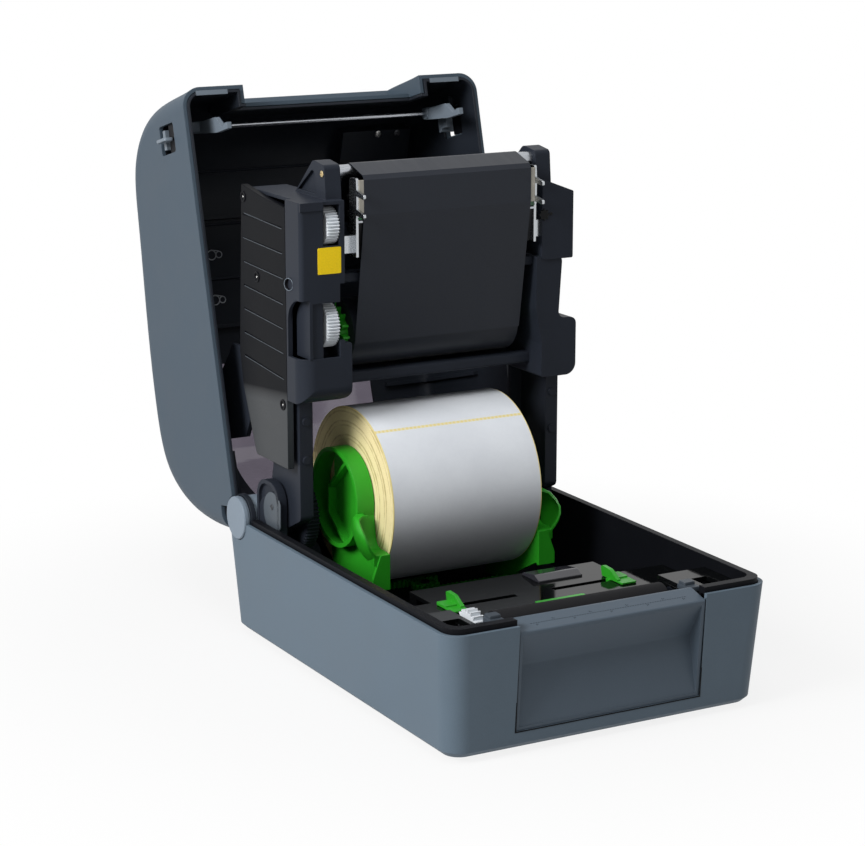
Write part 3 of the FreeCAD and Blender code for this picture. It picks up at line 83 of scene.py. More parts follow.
class Graph:
    def __init__(self, name):
        self.material = bpy.data.materials.new(name)
        self.material.use_nodes = True
        self.tree = self.material.node_tree
        self.shader = self.tree.nodes["Principled BSDF"]
        self.coords = None

    def node(self, kind, **values):
        made = self.tree.nodes.new(kind)
        for key, value in values.items():
            setattr(made, key, value)
        return made

    def link(self, source, target):
        self.tree.links.new(source, target)

    def place(self, scale=(1, 1, 1)):
        if self.coords is None:
            self.coords = self.node("ShaderNodeTexCoord")
        mapping = self.node("ShaderNodeMapping")
        mapping.inputs["Scale"].default_value = scale
        self.link(self.coords.outputs["Object"], mapping.inputs["Vector"])
        return mapping.outputs["Vector"]

    def axes(self):
        split = self.node("ShaderNodeSeparateXYZ")
        self.link(self.place(), split.inputs["Vector"])
        return split.outputs["X"], split.outputs["Y"], split.outputs["Z"]

    def noise(self, scale, detail=3.0, rough=0.55, stretch=(1, 1, 1)):
        made = self.node("ShaderNodeTexNoise")
        made.inputs["Scale"].default_value = scale
        made.inputs["Detail"].default_value = detail
        made.inputs["Roughness"].default_value = rough
        self.link(self.place(stretch), made.inputs["Vector"])
        return made.outputs["Fac"]

    def span(self, value, low, high, from_low=0.3, from_high=0.7):
        made = self.node("ShaderNodeMapRange")
        made.inputs["From Min"].default_value = from_low
        made.inputs["From Max"].default_value = from_high
        made.inputs["To Min"].default_value = low
        made.inputs["To Max"].default_value = high
        self.link(value, made.inputs["Value"])
        return made.outputs["Result"]

    def math(self, operation, a, b=None):
        made = self.node("ShaderNodeMath", operation=operation)
        for socket, value in zip(made.inputs, (a, b)):
            if value is None:
                continue
            if isinstance(value, (int, float)):
                socket.default_value = value
            else:
                self.link(value, socket)
        return made.outputs["Value"]

    def mix(self, factor, first, second):
        made = self.node("ShaderNodeMix", data_type="RGBA")
        sockets = [s for s in made.inputs if s.name in ("A", "B") and s.type == "RGBA"]
        for socket, value in zip([made.inputs["Factor"]] + sockets, (factor, first, second)):
            if isinstance(value, (int, float, tuple)):
                socket.default_value = value
            else:
                self.link(value, socket)
        return [s for s in made.outputs if s.type == "RGBA"][0]

    def colour(self, source):
        self.link(source, self.shader.inputs["Base Color"])

    def rough(self, source):
        self.link(source, self.shader.inputs["Roughness"])

    def rounded(self, radius):
        # Soft highlight along the edges of a moulding
        made = self.node("ShaderNodeBevel", samples=6)
        made.inputs["Radius"].default_value = radius
        self.link(made.outputs["Normal"], self.shader.inputs["Normal"])

    def bump(self, height, distance, strength=1.0):
        made = self.node("ShaderNodeBump")
        made.inputs["Strength"].default_value = strength
        made.inputs["Distance"].default_value = distance
        self.link(height, made.inputs["Height"])
        normal = self.shader.inputs["Normal"]
        if normal.is_linked:
            self.link(normal.links[0].from_socket, made.inputs["Normal"])
        self.link(made.outputs["Normal"], normal)

    def set(self, **values):
        for key, value in values.items():
            self.shader.inputs[key.replace("_", " ")].default_value = value


def moulding(g, colour, rough, grain=2600.0, depth=0.00006, cloud=0.10, gloss=0.0,
             edge=0.0005, shine=0.3):
    # Moulded plastic: noise scale and depth of its eroded grain, slow clouding of its colour,
    # clear coat, radius of its softened edges and specular level
    slow = g.noise(22.0, 4.0)
    fine = g.noise(grain, 2.0, 0.6)
    shade = g.span(slow, 0.0, 1.0)
    speck = g.span(fine, 0.94, 1.06)
    tone = g.mix(shade, scaled(colour, 1.0 - cloud), scaled(colour, 1.0 + cloud))
    blend = g.node("ShaderNodeMix", data_type="RGBA", blend_type="MULTIPLY")
    blend.inputs["Factor"].default_value = 1.0
    first, second = [s for s in blend.inputs if s.name in ("A", "B") and s.type == "RGBA"]
    g.link(tone, first)
    g.link(speck, second)
    g.colour([s for s in blend.outputs if s.type == "RGBA"][0])
    g.rough(g.math("ADD", g.span(slow, rough - 0.05, rough + 0.05), g.span(fine, -0.04, 0.04)))
    g.rounded(edge)
    g.bump(fine, depth, 0.35)
    g.set(Specular_IOR_Level=shine, Coat_Weight=gloss, Coat_Roughness=0.08)


def moulded(name, *look):
    g = Graph(name)
    moulding(g, *look)
    return g.material


def half_polished(name, edge_z, slope, *look):
    # Moulding whose lower end, under a sloping line, is left smooth and catches more light
    g = Graph(name)
    moulding(g, *look)
    _, y, z = g.axes()
    line = g.math("ADD", z, g.math("MULTIPLY", y, slope))
    low = g.span(line, 1.0, 0.0, edge_z - 0.007, edge_z + 0.001)
    shine = g.math("ADD", g.math("MULTIPLY", low, 0.42), 0.03)
    g.link(shine, g.shader.inputs["Specular IOR Level"])
    g.set(Specular_Tint=(0.78, 0.91, 1.0, 1.0))
    return g.material


def metal(name, colour, rough, stretch=(4, 120, 120)):
    # Drawn or rolled steel with fine lines along its length
    g = Graph(name)
    lines = g.noise(60.0, 4.0, 0.6, stretch)
    cloud = g.noise(35.0, 3.0)
    g.colour(g.mix(g.span(lines, 0.0, 1.0), scaled(colour, 0.82), scaled(colour, 1.08)))
    g.rough(g.math("ADD", g.span(lines, rough - 0.06, rough + 0.08), g.span(cloud, -0.05, 0.05)))
    g.rounded(0.0002)
    g.bump(lines, 0.00004, 0.3)
    g.set(Metallic=1.0)
    return g.material


def film(name, colour):
    # Wax ribbon: dark slate film with faint tension lines and a soft sheen
    g = Graph(name)
    lines = g.noise(18.0, 5.0, 0.6, (9, 1, 0.6))
    slow = g.noise(14.0, 2.0)
    grain = g.noise(1400.0, 2.0, 0.6)
    tone = g.math("ADD", g.span(slow, -0.25, 0.25), g.span(grain, 0.2, 0.8))
    g.colour(g.mix(tone, scaled(colour, 0.86), scaled(colour, 1.14)))
    g.rough(g.math("ADD", g.span(lines, 0.36, 0.44), g.span(slow, -0.03, 0.03)))
    g.bump(lines, 0.0004, 0.2)
    g.set(Specular_IOR_Level=0.2, Sheen_Weight=0.05, Sheen_Roughness=0.4)
    return g.material


def paper(name, axis, radius, half, gap_angle):
    # Label roll: white face, wound edge in many thin layers, yellow backing at the rims and
    # between labels
    g = Graph(name)
    x, y, z = g.axes()
    dy = g.math("SUBTRACT", y, axis.y)
    dz = g.math("SUBTRACT", z, axis.z)
    reach = g.math("SQRT", g.math("ADD", g.math("MULTIPLY", dy, dy), g.math("MULTIPLY", dz, dz)))
    side = g.span(reach, 1.0, 0.0, radius - 0.0006, radius - 0.0002)
    blotch = g.noise(70.0, 4.0, 0.6)
    drift = g.math("ADD", reach, g.span(g.noise(30.0, 3.0), -0.0006, 0.0006))
    turns = g.math("SINE", g.math("MULTIPLY", reach, 9000.0))
    bands = g.math("SINE", g.math("MULTIPLY", drift, 2300.0))
    broad = g.math("SINE", g.math("MULTIPLY", drift, 760.0))
    layer = g.mix(g.span(turns, 0.0, 1.0, -1.0, 1.0), linear(214, 194, 134), linear(246, 234, 190))
    streak = g.math("ADD", g.math("ADD", bands, broad), g.span(blotch, -1.2, 1.2))
    layer = g.mix(g.span(streak, 0.0, 0.65, 0.2, 2.2), layer, linear(150, 122, 58))
    rim = g.span(g.math("ABSOLUTE", x), 0.0, 1.0, half - 0.0008, half - 0.0003)
    angle = g.math("ARCTAN2", dz, dy)
    gap = g.span(g.math("ABSOLUTE", g.math("SUBTRACT", angle, gap_angle)), 1.0, 0.0, 0.016, 0.020)
    dots = g.math("SINE", g.math("MULTIPLY", x, 2400.0))
    backing = g.math("MAXIMUM", rim, g.math("MULTIPLY", gap, g.span(dots, 0.65, 1.0, -0.4, 0.2)))
    slow = g.noise(20.0, 3.0)
    fibre = g.noise(420.0, 3.0, 0.6)
    face = g.mix(g.span(slow, 0.0, 1.0), linear(206, 210, 216), linear(218, 222, 227))
    face = g.mix(g.span(fibre, 0.0, 0.10), face, linear(188, 193, 200))
    face = g.mix(backing, face, linear(222, 206, 140))
    g.colour(g.mix(side, face, layer))
    g.rough(g.span(blotch, 0.46, 0.58))
    g.bump(g.math("MULTIPLY", turns, side), 0.00012, 0.5)
    g.bump(g.noise(900.0, 2.0), 0.00002, 0.3)
    g.set(Specular_IOR_Level=0.15)
    return g.material


def smoked(name):
    # Smoked clear plastic window
    g = Graph(name)
    slow = g.noise(30.0, 3.0)
    g.colour(g.mix(g.span(slow, 0.0, 1.0), linear(114, 108, 120), linear(128, 121, 134)))
    g.rough(g.span(slow, 0.05, 0.10))
    g.set(Transmission_Weight=0.75, IOR=1.49, Specular_IOR_Level=0.5)
    return g.material


def board(name):
    g = Graph(name)
    cells = g.node("ShaderNodeTexVoronoi", feature="DISTANCE_TO_EDGE")
    cells.inputs["Scale"].default_value = 260.0
    g.link(g.place(), cells.inputs["Vector"])
    track = g.span(cells.outputs["Distance"], 1.0, 0.0, 0.04, 0.09)
    g.colour(g.mix(track, linear(14, 70, 38), linear(32, 110, 60)))
    g.rough(g.span(g.noise(90.0), 0.3, 0.45))
    g.bump(track, 0.00005, 0.4)
    return g.material


GREY = moulded("shell_grey", linear(87, 101, 113), 0.52, 2400.0, 0.00008, 0.05, 0.0, 0.0008, 0.2)
LID = moulded("lid_grey", linear(62, 74, 85), 0.54, 2400.0, 0.00008, 0.05, 0.0, 0.0008, 0.2)
PANEL = moulded("panel_grey", linear(76, 87, 98), 0.50, 2400.0, 0.00008, 0.05, 0.0, 0.0006, 0.2)
CLIP = moulded("clip_grey", linear(56, 63, 71), 0.45, 2600.0, 0.00004, 0.06, 0.0, 0.0004, 0.2)
LATCH = moulded("latch_grey", linear(104, 114, 124), 0.42, 2600.0, 0.00004, 0.06, 0.0, 0.0005, 0.25)
CAP = moulded("cap_grey", linear(112, 124, 136), 0.45, 2600.0, 0.00004, 0.06, 0.0, 0.0005, 0.25)
DISC = moulded("disc_grey", linear(68, 75, 82), 0.40, 2400.0, 0.00004, 0.06, 0.0, 0.0003, 0.25)
BLACK = moulded("black_plastic", linear(35, 39, 47), 0.42, 2200.0, 0.00007, 0.12, 0.0, 0.0006, 0.08)
SIDE = half_polished("side_black", 0.1600, 0.097,
                     linear(9, 10, 14), 0.34, 2200.0, 0.00004, 0.12, 0.0, 0.0006)
LINER = moulded("cover_black", linear(31, 35, 42), 0.40, 2000.0, 0.00006, 0.12, 0.0, 0.0006, 0.15)
INNER = moulded("liner_black", linear(13, 14, 18), 0.48, 2000.0, 0.00008, 0.12, 0.0, 0.0006, 0.08)
GLOSS = moulded("gloss_black", linear(8, 9, 10), 0.07, 1600.0, 0.00001, 0.10, 0.0, 0.0004, 0.12)
COVERLET = moulded("sensor_smoke", linear(44, 44, 50), 0.08, 1600.0, 0.00001, 0.10, 0.3,
                   0.0006, 0.5)
RUBBER = moulded("rubber", linear(26, 26, 28), 0.72, 1500.0, 0.00012, 0.12, 0.0, 0.0004, 0.1)
STEEL = metal("steel", linear(176, 180, 186), 0.26)
BRACKET = metal("bracket_steel", linear(188, 192, 196), 0.24, (60, 8, 60))
PORT = metal("port_steel", linear(170, 172, 176), 0.34)
MOTOR = metal("motor_metal", linear(84, 86, 90), 0.42)
SINK = moulded("heatsink_black", linear(22, 23, 26), 0.38, 1400.0, 0.00004, 0.10, 0.0, 0.0002, 0.2)
SCREW = metal("screw_steel", linear(190, 190, 188), 0.34, (40, 40, 40))
BRASS = metal("brass", linear(204, 184, 140), 0.26, (40, 40, 40))
CERAMIC = moulded("ceramic", linear(150, 146, 136), 0.18, 1800.0, 0.00001, 0.08, 0.2)
BOARD = board("circuit_board")
SMOKED = smoked("smoked_window")
LENS = moulded("status_lens", linear(120, 200, 130), 0.2, 1800.0, 0.00001, 0.1, 0.4)
GREEN = moulded("green_plastic", linear(40, 146, 32), 0.34, 2600.0, 0.00004, 0.10, 0.0, 0.0003, 0.3)
WHITE = moulded("white_gear", linear(214, 219, 224), 0.42, 2600.0, 0.00003, 0.05, 0.0, 0.0001, 0.3)
FILM = film("ribbon_film", linear(31, 35, 43))
roll_axis = at(0, 70.5, 93.0)
roll_radius = 0.0530
roll_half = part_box("label_roll")[1][0]
label_gap_angle = 2.159
PAPER = paper("label_paper", roll_axis, roll_radius, roll_half, label_gap_angle)
CORE = moulded("core_board", linear(150, 124, 88), 0.8, 600.0, 0.0002, 0.15, 0.0, 0.0004, 0.1)
PATCH = moulded("patch_yellow", linear(236, 202, 22), 0.46, 1200.0, 0.00003, 0.06, 0.0, 0.0001, 0.2)
SIGN = moulded("sign_grey", linear(160, 164, 170), 0.55, 1800.0, 0.00003, 0.10, 0.0, 0.0001, 0.2)
MARK = moulded("mark_grey", linear(34, 40, 47), 0.60, 1800.0, 0.00003, 0.10, 0.0, 0.0001, 0.1)

finishes = {
    GREY: ("base_shell",),
    LID: ("cover_shell",),
    PANEL: ("front_panel",),
    LATCH: ("latch_levers",),
    CAP: ("hinge_barrels",),
    BLACK: ("pivot_housings", "carriage_chassis", "carriage_left_frame", "carriage_right_frame",
            "hinge_gear", "damper_body", "damper_pinion", "dc_inlet", "switch_frame",
            "power_rocker", "platen_bushes", "feed_button"),
    SIDE: ("carriage_side_cover",),
    LINER: ("cover_liner", "panel_housing"),
    INNER: ("media_tray",),
    GLOSS: ("front_deck", "media_platform"),
    COVERLET: ("gap_sensor_cover",),
    RUBBER: ("rubber_feet", "platen_rubber"),
    STEEL: ("pivot_pins", "latch_rod", "ribbon_guide_shaft", "platen_shaft"),
    BRACKET: ("head_brackets",),
    PORT: ("usb_port", "lan_port"),
    MOTOR: ("stepper_motor", "motor_pinion"),
    SINK: ("head_heatsink",),
    CERAMIC: ("print_head",),
    BOARD: ("main_board",),
    SMOKED: ("cover_window",),
    LENS: ("status_lens",),
    GREEN: ("roll_holder_left", "roll_holder_right", "holder_pinion", "media_guide_left",
            "media_guide_right", "guide_pinion", "sensor_slider", "supply_spindle",
            "takeup_spindle"),
    WHITE: ("platen_gear", "drive_idler", "thumb_gear", "supply_gear", "supply_wheel",
            "takeup_gear"),
    FILM: ("ribbon_web", "ribbon_supply_roll", "ribbon_takeup_roll"),
    PAPER: ("label_roll",),
    CORE: ("label_core",),
}
for material, names in finishes.items():
    for name in names:
        mesh = nodes[name].data
        mesh.materials.clear()
        mesh.materials.append(material)


# Shapes for the small fittings, in millimetres about their own seat: u along, v across and
# w out of the face

def basis(place, normal, along=(1, 0, 0)):
    w = Vector(normal).normalized()
    u = Vector(along) - w * w.dot(Vector(along))
    u.normalize()
    matrix = Matrix((u, w.cross(u), w)).transposed().to_4x4()
    matrix.translation = place
    return matrix


def fitting(name, seat, shapes, material, body):
    mesh = bpy.data.meshes.new(name)
    verts, faces = [], []
    for points, sides in shapes:
        start = len(verts)
        verts += [seat @ (Vector(point) * MM) for point in points]
        faces += [tuple(start + corner for corner in side) for side in sides]
    mesh.from_pydata(verts, [], faces)
    build = bmesh.new()
    build.from_mesh(mesh)
    bmesh.ops.recalc_face_normals(build, faces=build.faces)
    build.to_mesh(mesh)
    build.free()
    for polygon in mesh.polygons:
        polygon.use_smooth = True
    mesh.set_sharp_from_angle(angle=SHARP_EDGE)
    mesh.materials.append(material)
    piece = bpy.data.objects.new(name, mesh)
    scene.collection.objects.link(piece)
    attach(piece, body)


def rings(levels, closed=True):
    # Skin through outlines of equal count, capped at both ends where it is closed
    count = len(levels[0])
    points = [point for level in levels for point in level]
    sides = []
    for level in range(len(levels) - 1):
        for k in range(count):
            a = level * count + k
            b = level * count + (k + 1) % count
            sides.append((a, b, b + count, a + count))
    if closed:
        sides.append(tuple(range(count)))
        sides.append(tuple(range(len(points) - count, len(points))))
    return points, sides


def circle(radius, height, count=ROUND_COUNT, u=0.0, v=0.0):
    turns = [2 * math.pi * k / count for k in range(count)]
    return [(u + radius * math.cos(t), v + radius * math.sin(t), height) for t in turns]


def lathe(profile, u=0.0, v=0.0):
    return rings([circle(radius, height, ROUND_COUNT, u, v) for radius, height in profile])


def slab(outline, low, high, chamfer=0.15):
    # Plate with a broken upper edge
    mid_u = sum(u for u, v in outline) / len(outline)
    mid_v = sum(v for u, v in outline) / len(outline)
    size = max(abs(u - mid_u) + abs(v - mid_v) for u, v in outline)
    shrink = 1.0 - chamfer / size
    top = [(mid_u + (u - mid_u) * shrink, mid_v + (v - mid_v) * shrink, high) for u, v in outline]
    sharp = [(u, v, low) for u, v in outline]
    shoulder = [(u, v, high - chamfer) for u, v in outline]
    return rings([sharp, shoulder, top])


def rectangle(u0, u1, v0, v1):
    return [(u0, v0), (u1, v0), (u1, v1), (u0, v1)]


def oblong(u0, u1, v0, v1, radius, steps=5):
    outline = []
    corners = ((u1 - radius, v1 - radius, 0), (u0 + radius, v1 - radius, 90),
               (u0 + radius, v0 + radius, 180), (u1 - radius, v0 + radius, 270))
    for u, v, start in corners:
        for k in range(steps + 1):
            turn = math.radians(start + 90 * k / steps)
            outline.append((u + radius * math.cos(turn), v + radius * math.sin(turn)))
    return outline


def sweep(path, radius, sides=10):
    # Round wire along a path
    levels = []
    across = Vector((0.0, 0.0, 1.0))
    for k, point in enumerate(path):
        ahead = Vector(path[min(k + 1, len(path) - 1)]) - Vector(path[max(k - 1, 0)])
        ahead.normalize()
        first = ahead.cross(across)
        if first.length < 0.05:
            first = ahead.cross(Vector((0.0, 1.0, 0.0)))
        first.normalize()
        second = ahead.cross(first)
        ring = []
        for turn in range(sides):
            angle = 2 * math.pi * turn / sides
            spoke = first * math.cos(angle) + second * math.sin(angle)
            ring.append(Vector(point) + spoke * radius)
        levels.append(ring)
    return rings(levels)


def cross_head(radius):
    # Domed screw head with a cross recess
    levels = []
    for share in (1.0, 0.98, 0.88, 0.72, 0.62, 0.48, 0.34, 0.2, 0.06):
        ring = []
        for u, v, height in circle(radius * share, 0.0, 40):
            height = 0.0 if share == 1.0 else radius * (0.42 - 0.22 * share * share)
            if share < 0.65 and min(abs(u), abs(v)) < 0.16 * radius:
                height -= radius * 0.24
            ring.append((u, v, height))
        levels.append(ring)
    return rings(levels)


def screw(name, seat, radius, body, material=SCREW):
    fitting(name, seat, [cross_head(radius)], material, body)


def sunk_screw(name, seat, radius, body):
    # Small screw at the bottom of a round well with a soft lip; the well is a shallow dish standing
    # proud of the face, and its near-black colour is painted shade for the hollow the screw sits in
    lip = [(radius * 1.2, 0.0), (radius * 1.15, 0.4), (radius * 1.05, 0.5)]
    lip += [(radius * 0.95, 0.4), (radius * 0.8, 0.1), (radius * 0.1, 0.06)]
    fitting(name + "_well", seat, [lathe(lip)], INNER, body)
    screw(name, seat, radius * 0.26, body)


# Carriage fittings

left = (-1, 0, 0)
front = (0, -1, 0)
side_face = -94.0
for k, (y, z) in enumerate(((120.2, 267.6), (103.1, 222.6), (70.1, 152.7))):
    sunk_screw("side_screw_%d" % (k + 1), basis(at(side_face, y, z), left, front), 2.8, "carriage")
ring = [(3.7, -1.6), (3.7, 0.3), (3.45, 0.6), (3.0, 0.55), (2.75, 0.2), (2.6, -0.9), (0.2, -1.0)]
eyelet_seat = basis(at(-94.4, 58.9, 225.2), (-0.95, -0.31, 0), front)
fitting("side_eyelet", eyelet_seat, [lathe(ring)], INNER, "carriage")
rim = [(3.5 * math.cos(math.pi * k / 16), 3.5 * math.sin(math.pi * k / 16), 0.5) for k in range(33)]
fitting("side_eyelet_rim", eyelet_seat, [sweep(rim, 0.22, 8)], LATCH, "carriage")

# Painted highlight: thin strips of lighter grey along the lower lips of the seven grooves in the
# side cover, standing in for the light the lips catch; each row runs from the rear end to the front
# end
painted_groove_highlights = []
grooves = ((119.7, 258.6, 68.9, 256.2), (121.3, 243.9, 68.6, 241.8), (120.5, 229.7, 68.2, 227.4),
           (120.2, 215.4, 68.3, 212.5), (120.8, 201.4, 68.7, 198.2), (121.0, 187.1, 68.8, 183.8),
           (121.1, 172.9, 68.4, 168.6))
for y0, z0, y1, z1 in grooves:
    edge = [(y0, 0.45 - z0), (y1, 0.45 - z1), (y1, 0.85 - z1), (y0, 0.85 - z0)]
    painted_groove_highlights.append(slab(edge, 0.0, 0.06, 0.02))
groove_highlight_seat = basis(at(side_face, 0, 0), left, (0, 1, 0))
fitting("painted_groove_highlights", groove_highlight_seat, painted_groove_highlights, DISC, "carriage")
screw("post_screw", basis(at(-74.5, 55.6, 287.1), left, front), 2.0, "carriage", BRASS)

patch = slab(oblong(-7.4, 7.4, -7.6, 7.6, 0.7), 0.0, 0.12, 0.04)
patch_seat = basis(at(-75.7, 45.0, 239.3), front)
fitting("blank_patch", patch_seat, [patch], PATCH, "carriage")

# Painted shade: a star-shaped socket and a pinhole on the right frame, drawn as thin near-black
# gloss shapes standing proud, their dark colour standing in for the shade inside the holes
lobes = []
for k in range(48):
    turn = 2 * math.pi * k / 48
    reach = 3.2 + 0.55 * math.cos(8 * turn)
    lobes.append((reach * math.cos(turn), reach * math.sin(turn)))
star_hole_shade = [slab(lobes, 0.0, 0.5, 0.3), lathe([(0.9, 0.0), (0.9, 0.35), (0.1, 0.4)], 4.6, 0.3)]
star_hole_seat = basis(at(66.2, 45.0, 255.0), front)
fitting("adjuster_socket", star_hole_seat, star_hole_shade, GLOSS, "carriage")

for side, name in SIDES:
    u0, u1 = sorted((side * 52.6, side * 58.4))
    edge = [slab(rectangle(u0, u1, -2.0, 2.0), 0.0, 0.7, 0.1)]
    seat = basis(at(0, 43.6, 263.6), front)
    fitting("head_board_" + name, seat, edge, BOARD, "carriage")
    strip = [slab(rectangle(u0, u1, -0.6, 0.6), 0.0, 0.5, 0.1)]
    seat = basis(at(0, 43.6, 260.2), front)
    fitting("head_strip_" + name, seat, strip, STEEL, "carriage")

# Hinge housing: flat disc with one side cut off, and its pin

disc = []
for k in range(49):
    turn = math.radians(-146 + 292 * k / 48)
    disc.append((-12.4 * math.cos(turn), 12.4 * math.sin(turn)))
disc = [(u if u < 10.3 else 10.3, v) for u, v in disc]
plate = basis(at(-93.4, 86.5, 84.0), left, front)
fitting("hinge_disc", plate, [slab(disc, 0.0, 0.6, 0.25)], DISC, "base")
pin = [(1.7, 0.5), (1.7, 0.9), (1.3, 1.1), (1.2, 0.8), (0.7, 0.8), (0.6, 1.2), (0.1, 1.35)]
pin_seat = basis(at(-93.4, 87.1, 87.3), left, front)
fitting("hinge_pin", pin_seat, [lathe(pin)], MOTOR, "base")

# Front: tear bar scale and the two clips that hold the bar

scale_seat = basis(at(0, -132.9, 70.67), (0, -0.26, 0.966))
ticks = []
for k in range(62):
    u = -48.8 + 1.6 * k
    ticks.append(slab(rectangle(u, u + 0.9, -0.14, 0.14), 0.0, 0.1, 0.03))
for k in range(9):
    u = -46.0 + 11.6 * k
    v = 1.1 if k % 2 else -1.1
    for shift, tall in ((0.0, 1.3), (0.9, 0.7)):
        low, high = sorted((v, v + math.copysign(tall, v)))
        ticks.append(slab(rectangle(u + shift, u + shift + 0.3, low, high), 0.0, 0.1, 0.03))
fitting("tear_bar_scale", scale_seat, ticks, MARK, "base")
for side, name in SIDES:
    seat = basis(at(side * 62.0, -118.0, 69.0), (0, 0, 1))
    foot = slab(oblong(-4.2, 4.2, -5.5, 5.5, 0.8), 0.0, 2.6, 0.5)
    step = slab(oblong(-3.6, 3.6, -1.2, 5.0, 0.8), 2.4, 4.4, 0.5)
    fitting("bar_clip_" + name, seat, [foot, step], CLIP, "base")

# Lid: screws, ribs, corner pads, coil on the latch rod, and plain loading signs

lid_face = (0, -0.967, -0.254)
screw("lid_screw_1", basis(at(66.0, 254.9, 280.8), lid_face), 2.4, "cover")
# The two lid screws are alike; the second is drawn in the darker motor metal as painted shade, for
# the screw that catches less light
screw("lid_screw_2", basis(at(80.2, 254.9, 280.8), lid_face), 2.4, "cover", MOTOR)
half_turn = [math.pi * k / 6 for k in range(7)]
lid_ribs = (("1", 270.8, 261.3, (0, -0.99, -0.08), -92, 24),
            ("2", 266.6, 227.5, (0, -0.98, 0.17), -94, 94),
            ("3", 261.0, 192.8, (0, -0.98, 0.15), -94, 94))
for name, y, z, normal, u0, u1 in lid_ribs:
    half_round = [[(u, math.cos(t), 0.7 * math.sin(t)) for t in half_turn] for u in (u0, u1)]
    seat = basis(at(0, y, z), normal)
    fitting("lid_rib_" + name, seat, [rings(half_round)], BLACK, "cover")
rim_face = (0, -0.97, 0.25)
for name, u0, u1 in (("left", -93.0, -72.0), ("right", 68.0, 89.0)):
    pad = slab(oblong(u0, u1, -1.4, 1.6, 0.4), 0.0, 0.1, 0.04)
    seat = basis(at(0, 188.05, 321.5), rim_face)
    fitting("lid_pad_" + name, seat, [pad], LATCH, "cover")
coil = []
for k in range(90):
    turn = 2 * math.pi * k / 16
    coil.append((-79.0 + 0.1 * k, 2.1 * math.cos(turn), 2.1 * math.sin(turn)))
rod_low, rod_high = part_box("latch_rod")
rod_middle = Vector((0, (rod_low[1] + rod_high[1]) / 2, (rod_low[2] + rod_high[2]) / 2))
fitting("latch_coil", Matrix.Translation(rod_middle), [sweep(coil, 0.45)], MOTOR, "latch")
for k, (y, z) in enumerate(((263.35, 208.3), (258.85, 179.4))):
    sign = []
    for radius, u in ((3.4, -1.6), (2.4, 3.6)):
        band = ((radius, 0.0), (radius, 0.12), (radius - 0.7, 0.12), (radius - 0.7, 0.0))
        sign.append(rings([circle(r, height, u=u) for r, height in band], False))
    sign.append(slab([(-2.0, 3.0), (3.8, 1.9), (3.8, 2.6), (-2.0, 3.7)], 0.0, 0.12, 0.04))
    seat = basis(at(-50.0, y, z), (0, -0.985, 0.15))
    fitting("loading_sign_%d" % (k + 1), seat, sign, SIGN, "cover")

# Lid latch: finger lips out of the side windows, and a dark shutter behind each

lid_along = (0, 0.967, -0.255)
lid_upright = (0, 0.255, 0.967)
for side, name in SIDES:
    u0, u1 = sorted((side * 1.2, side * -5.2))
    lip = slab(oblong(-8.0, 5.5, u0, u1, 1.6), -1.0, 1.0, 0.5)
    seat = basis(at(side * 101.5, 214.0, 290.6), lid_upright, lid_along)
    fitting("latch_lip_" + name, seat, [lip], LATCH, "latch")
    shutter = slab(oblong(-11.0, 1.2, -8.9, 8.9, 0.8), 0.0, 1.0, 0.2)
    seat = basis(at(side * 99.0, 212.2, 291.6), (side, 0, 0), lid_along)
    fitting("latch_shutter_" + name, seat, [shutter], INNER, "cover")

# Roll holders: curved ear from the ring down to each front post

home = Matrix.Translation(at(0, 0, 0))
ear_front = [(57.5, 34.5, 90.0), (62.0, 34.5, 90.2), (65.1, 32.5, 88.8), (66.5, 27.0, 85.5),
             (66.7, 22.8, 82.0), (66.1, 21.4, 78.0), (64.5, 21.2, 73.8), (62.0, 21.5, 70.0),
             (59.5, 21.8, 67.5)]
ear_rear = [(57.5, 41.0, 90.0), (62.0, 41.0, 90.0), (64.0, 41.0, 88.0), (64.5, 41.0, 84.0),
            (64.5, 41.0, 80.0), (64.0, 40.0, 76.0), (63.0, 38.0, 71.0), (61.0, 35.0, 66.5),
            (59.0, 33.0, 63.5)]


def curved_wall(front_edge, rear_edge, wall, bulge, side):
    # Thin wall between two edges, swelling outward half way, with its thickness toward the roll
    levels = []
    for share in (0.0, 0.06, 0.3, 0.65, 1.0):
        swell = bulge * 4 * share * (1 - share)
        outer, inner = [], []
        for start, end in zip(front_edge, rear_edge):
            x, y, z = Vector(start).lerp(Vector(end), share)
            toward = Vector((52.0 - x, 0, 78.0 - z)).normalized()
            outer.append((side * (x + swell - (0.4 if share == 0 else 0)), y, z))
            inner.append((side * (x + swell + toward.x * wall), y, z + toward.z * wall))
        levels.append(outer + inner[::-1])
    points, sides = rings(levels, False)
    count = len(front_edge)
    for base in (0, len(points) - 2 * count):
        for k in range(count - 1):
            across = base + 2 * count - 1 - k
            sides.append((base + k, base + k + 1, across - 1, across))
    return points, sides


for side, name in SIDES:
    wall = curved_wall(ear_front, ear_rear, 1.6, 1.2, side)
    fitting("holder_ear_" + name, home, [wall], GREEN, "roll_holder_" + name)

# Carriage: rear bracket behind the side cover

bracket_edge = [(94, 155), (150, 172), (160, 172), (166.3, 163.9), (184, 144), (179, 111),
                (173, 108.9), (143.2, 116.9), (136.2, 129.1), (94, 132)]
bracket = slab([(y - 160, z - 140) for y, z in reversed(bracket_edge)], -1.5, 1.5, 0.5)
seat = basis(at(-83.0, 160, 140), (1, 0, 0), (0, 1, 0))
fitting("rear_bracket", seat, [bracket], BLACK, "carriage")

# Front panel: painted shadow, dark strips laid over the gap round the panel

gap_shadow_seat = basis(at(0, -135.355, 12.7), (0, -0.9977, -0.068))
gap_shadows = [slab(rectangle(-59.3, 59.3, -0.4, 0.4), 0.0, 0.1, 0.03)]
for side in (-1, 1):
    u0, u1 = sorted((side * 58.45, side * 59.25))
    gap_shadows.append(slab(rectangle(u0, u1, 0.4, 57.6), 0.0, 0.1, 0.03))
fitting("panel_gap_shadow", gap_shadow_seat, gap_shadows, INNER, "base")

# Rear sockets: tongue and contacts

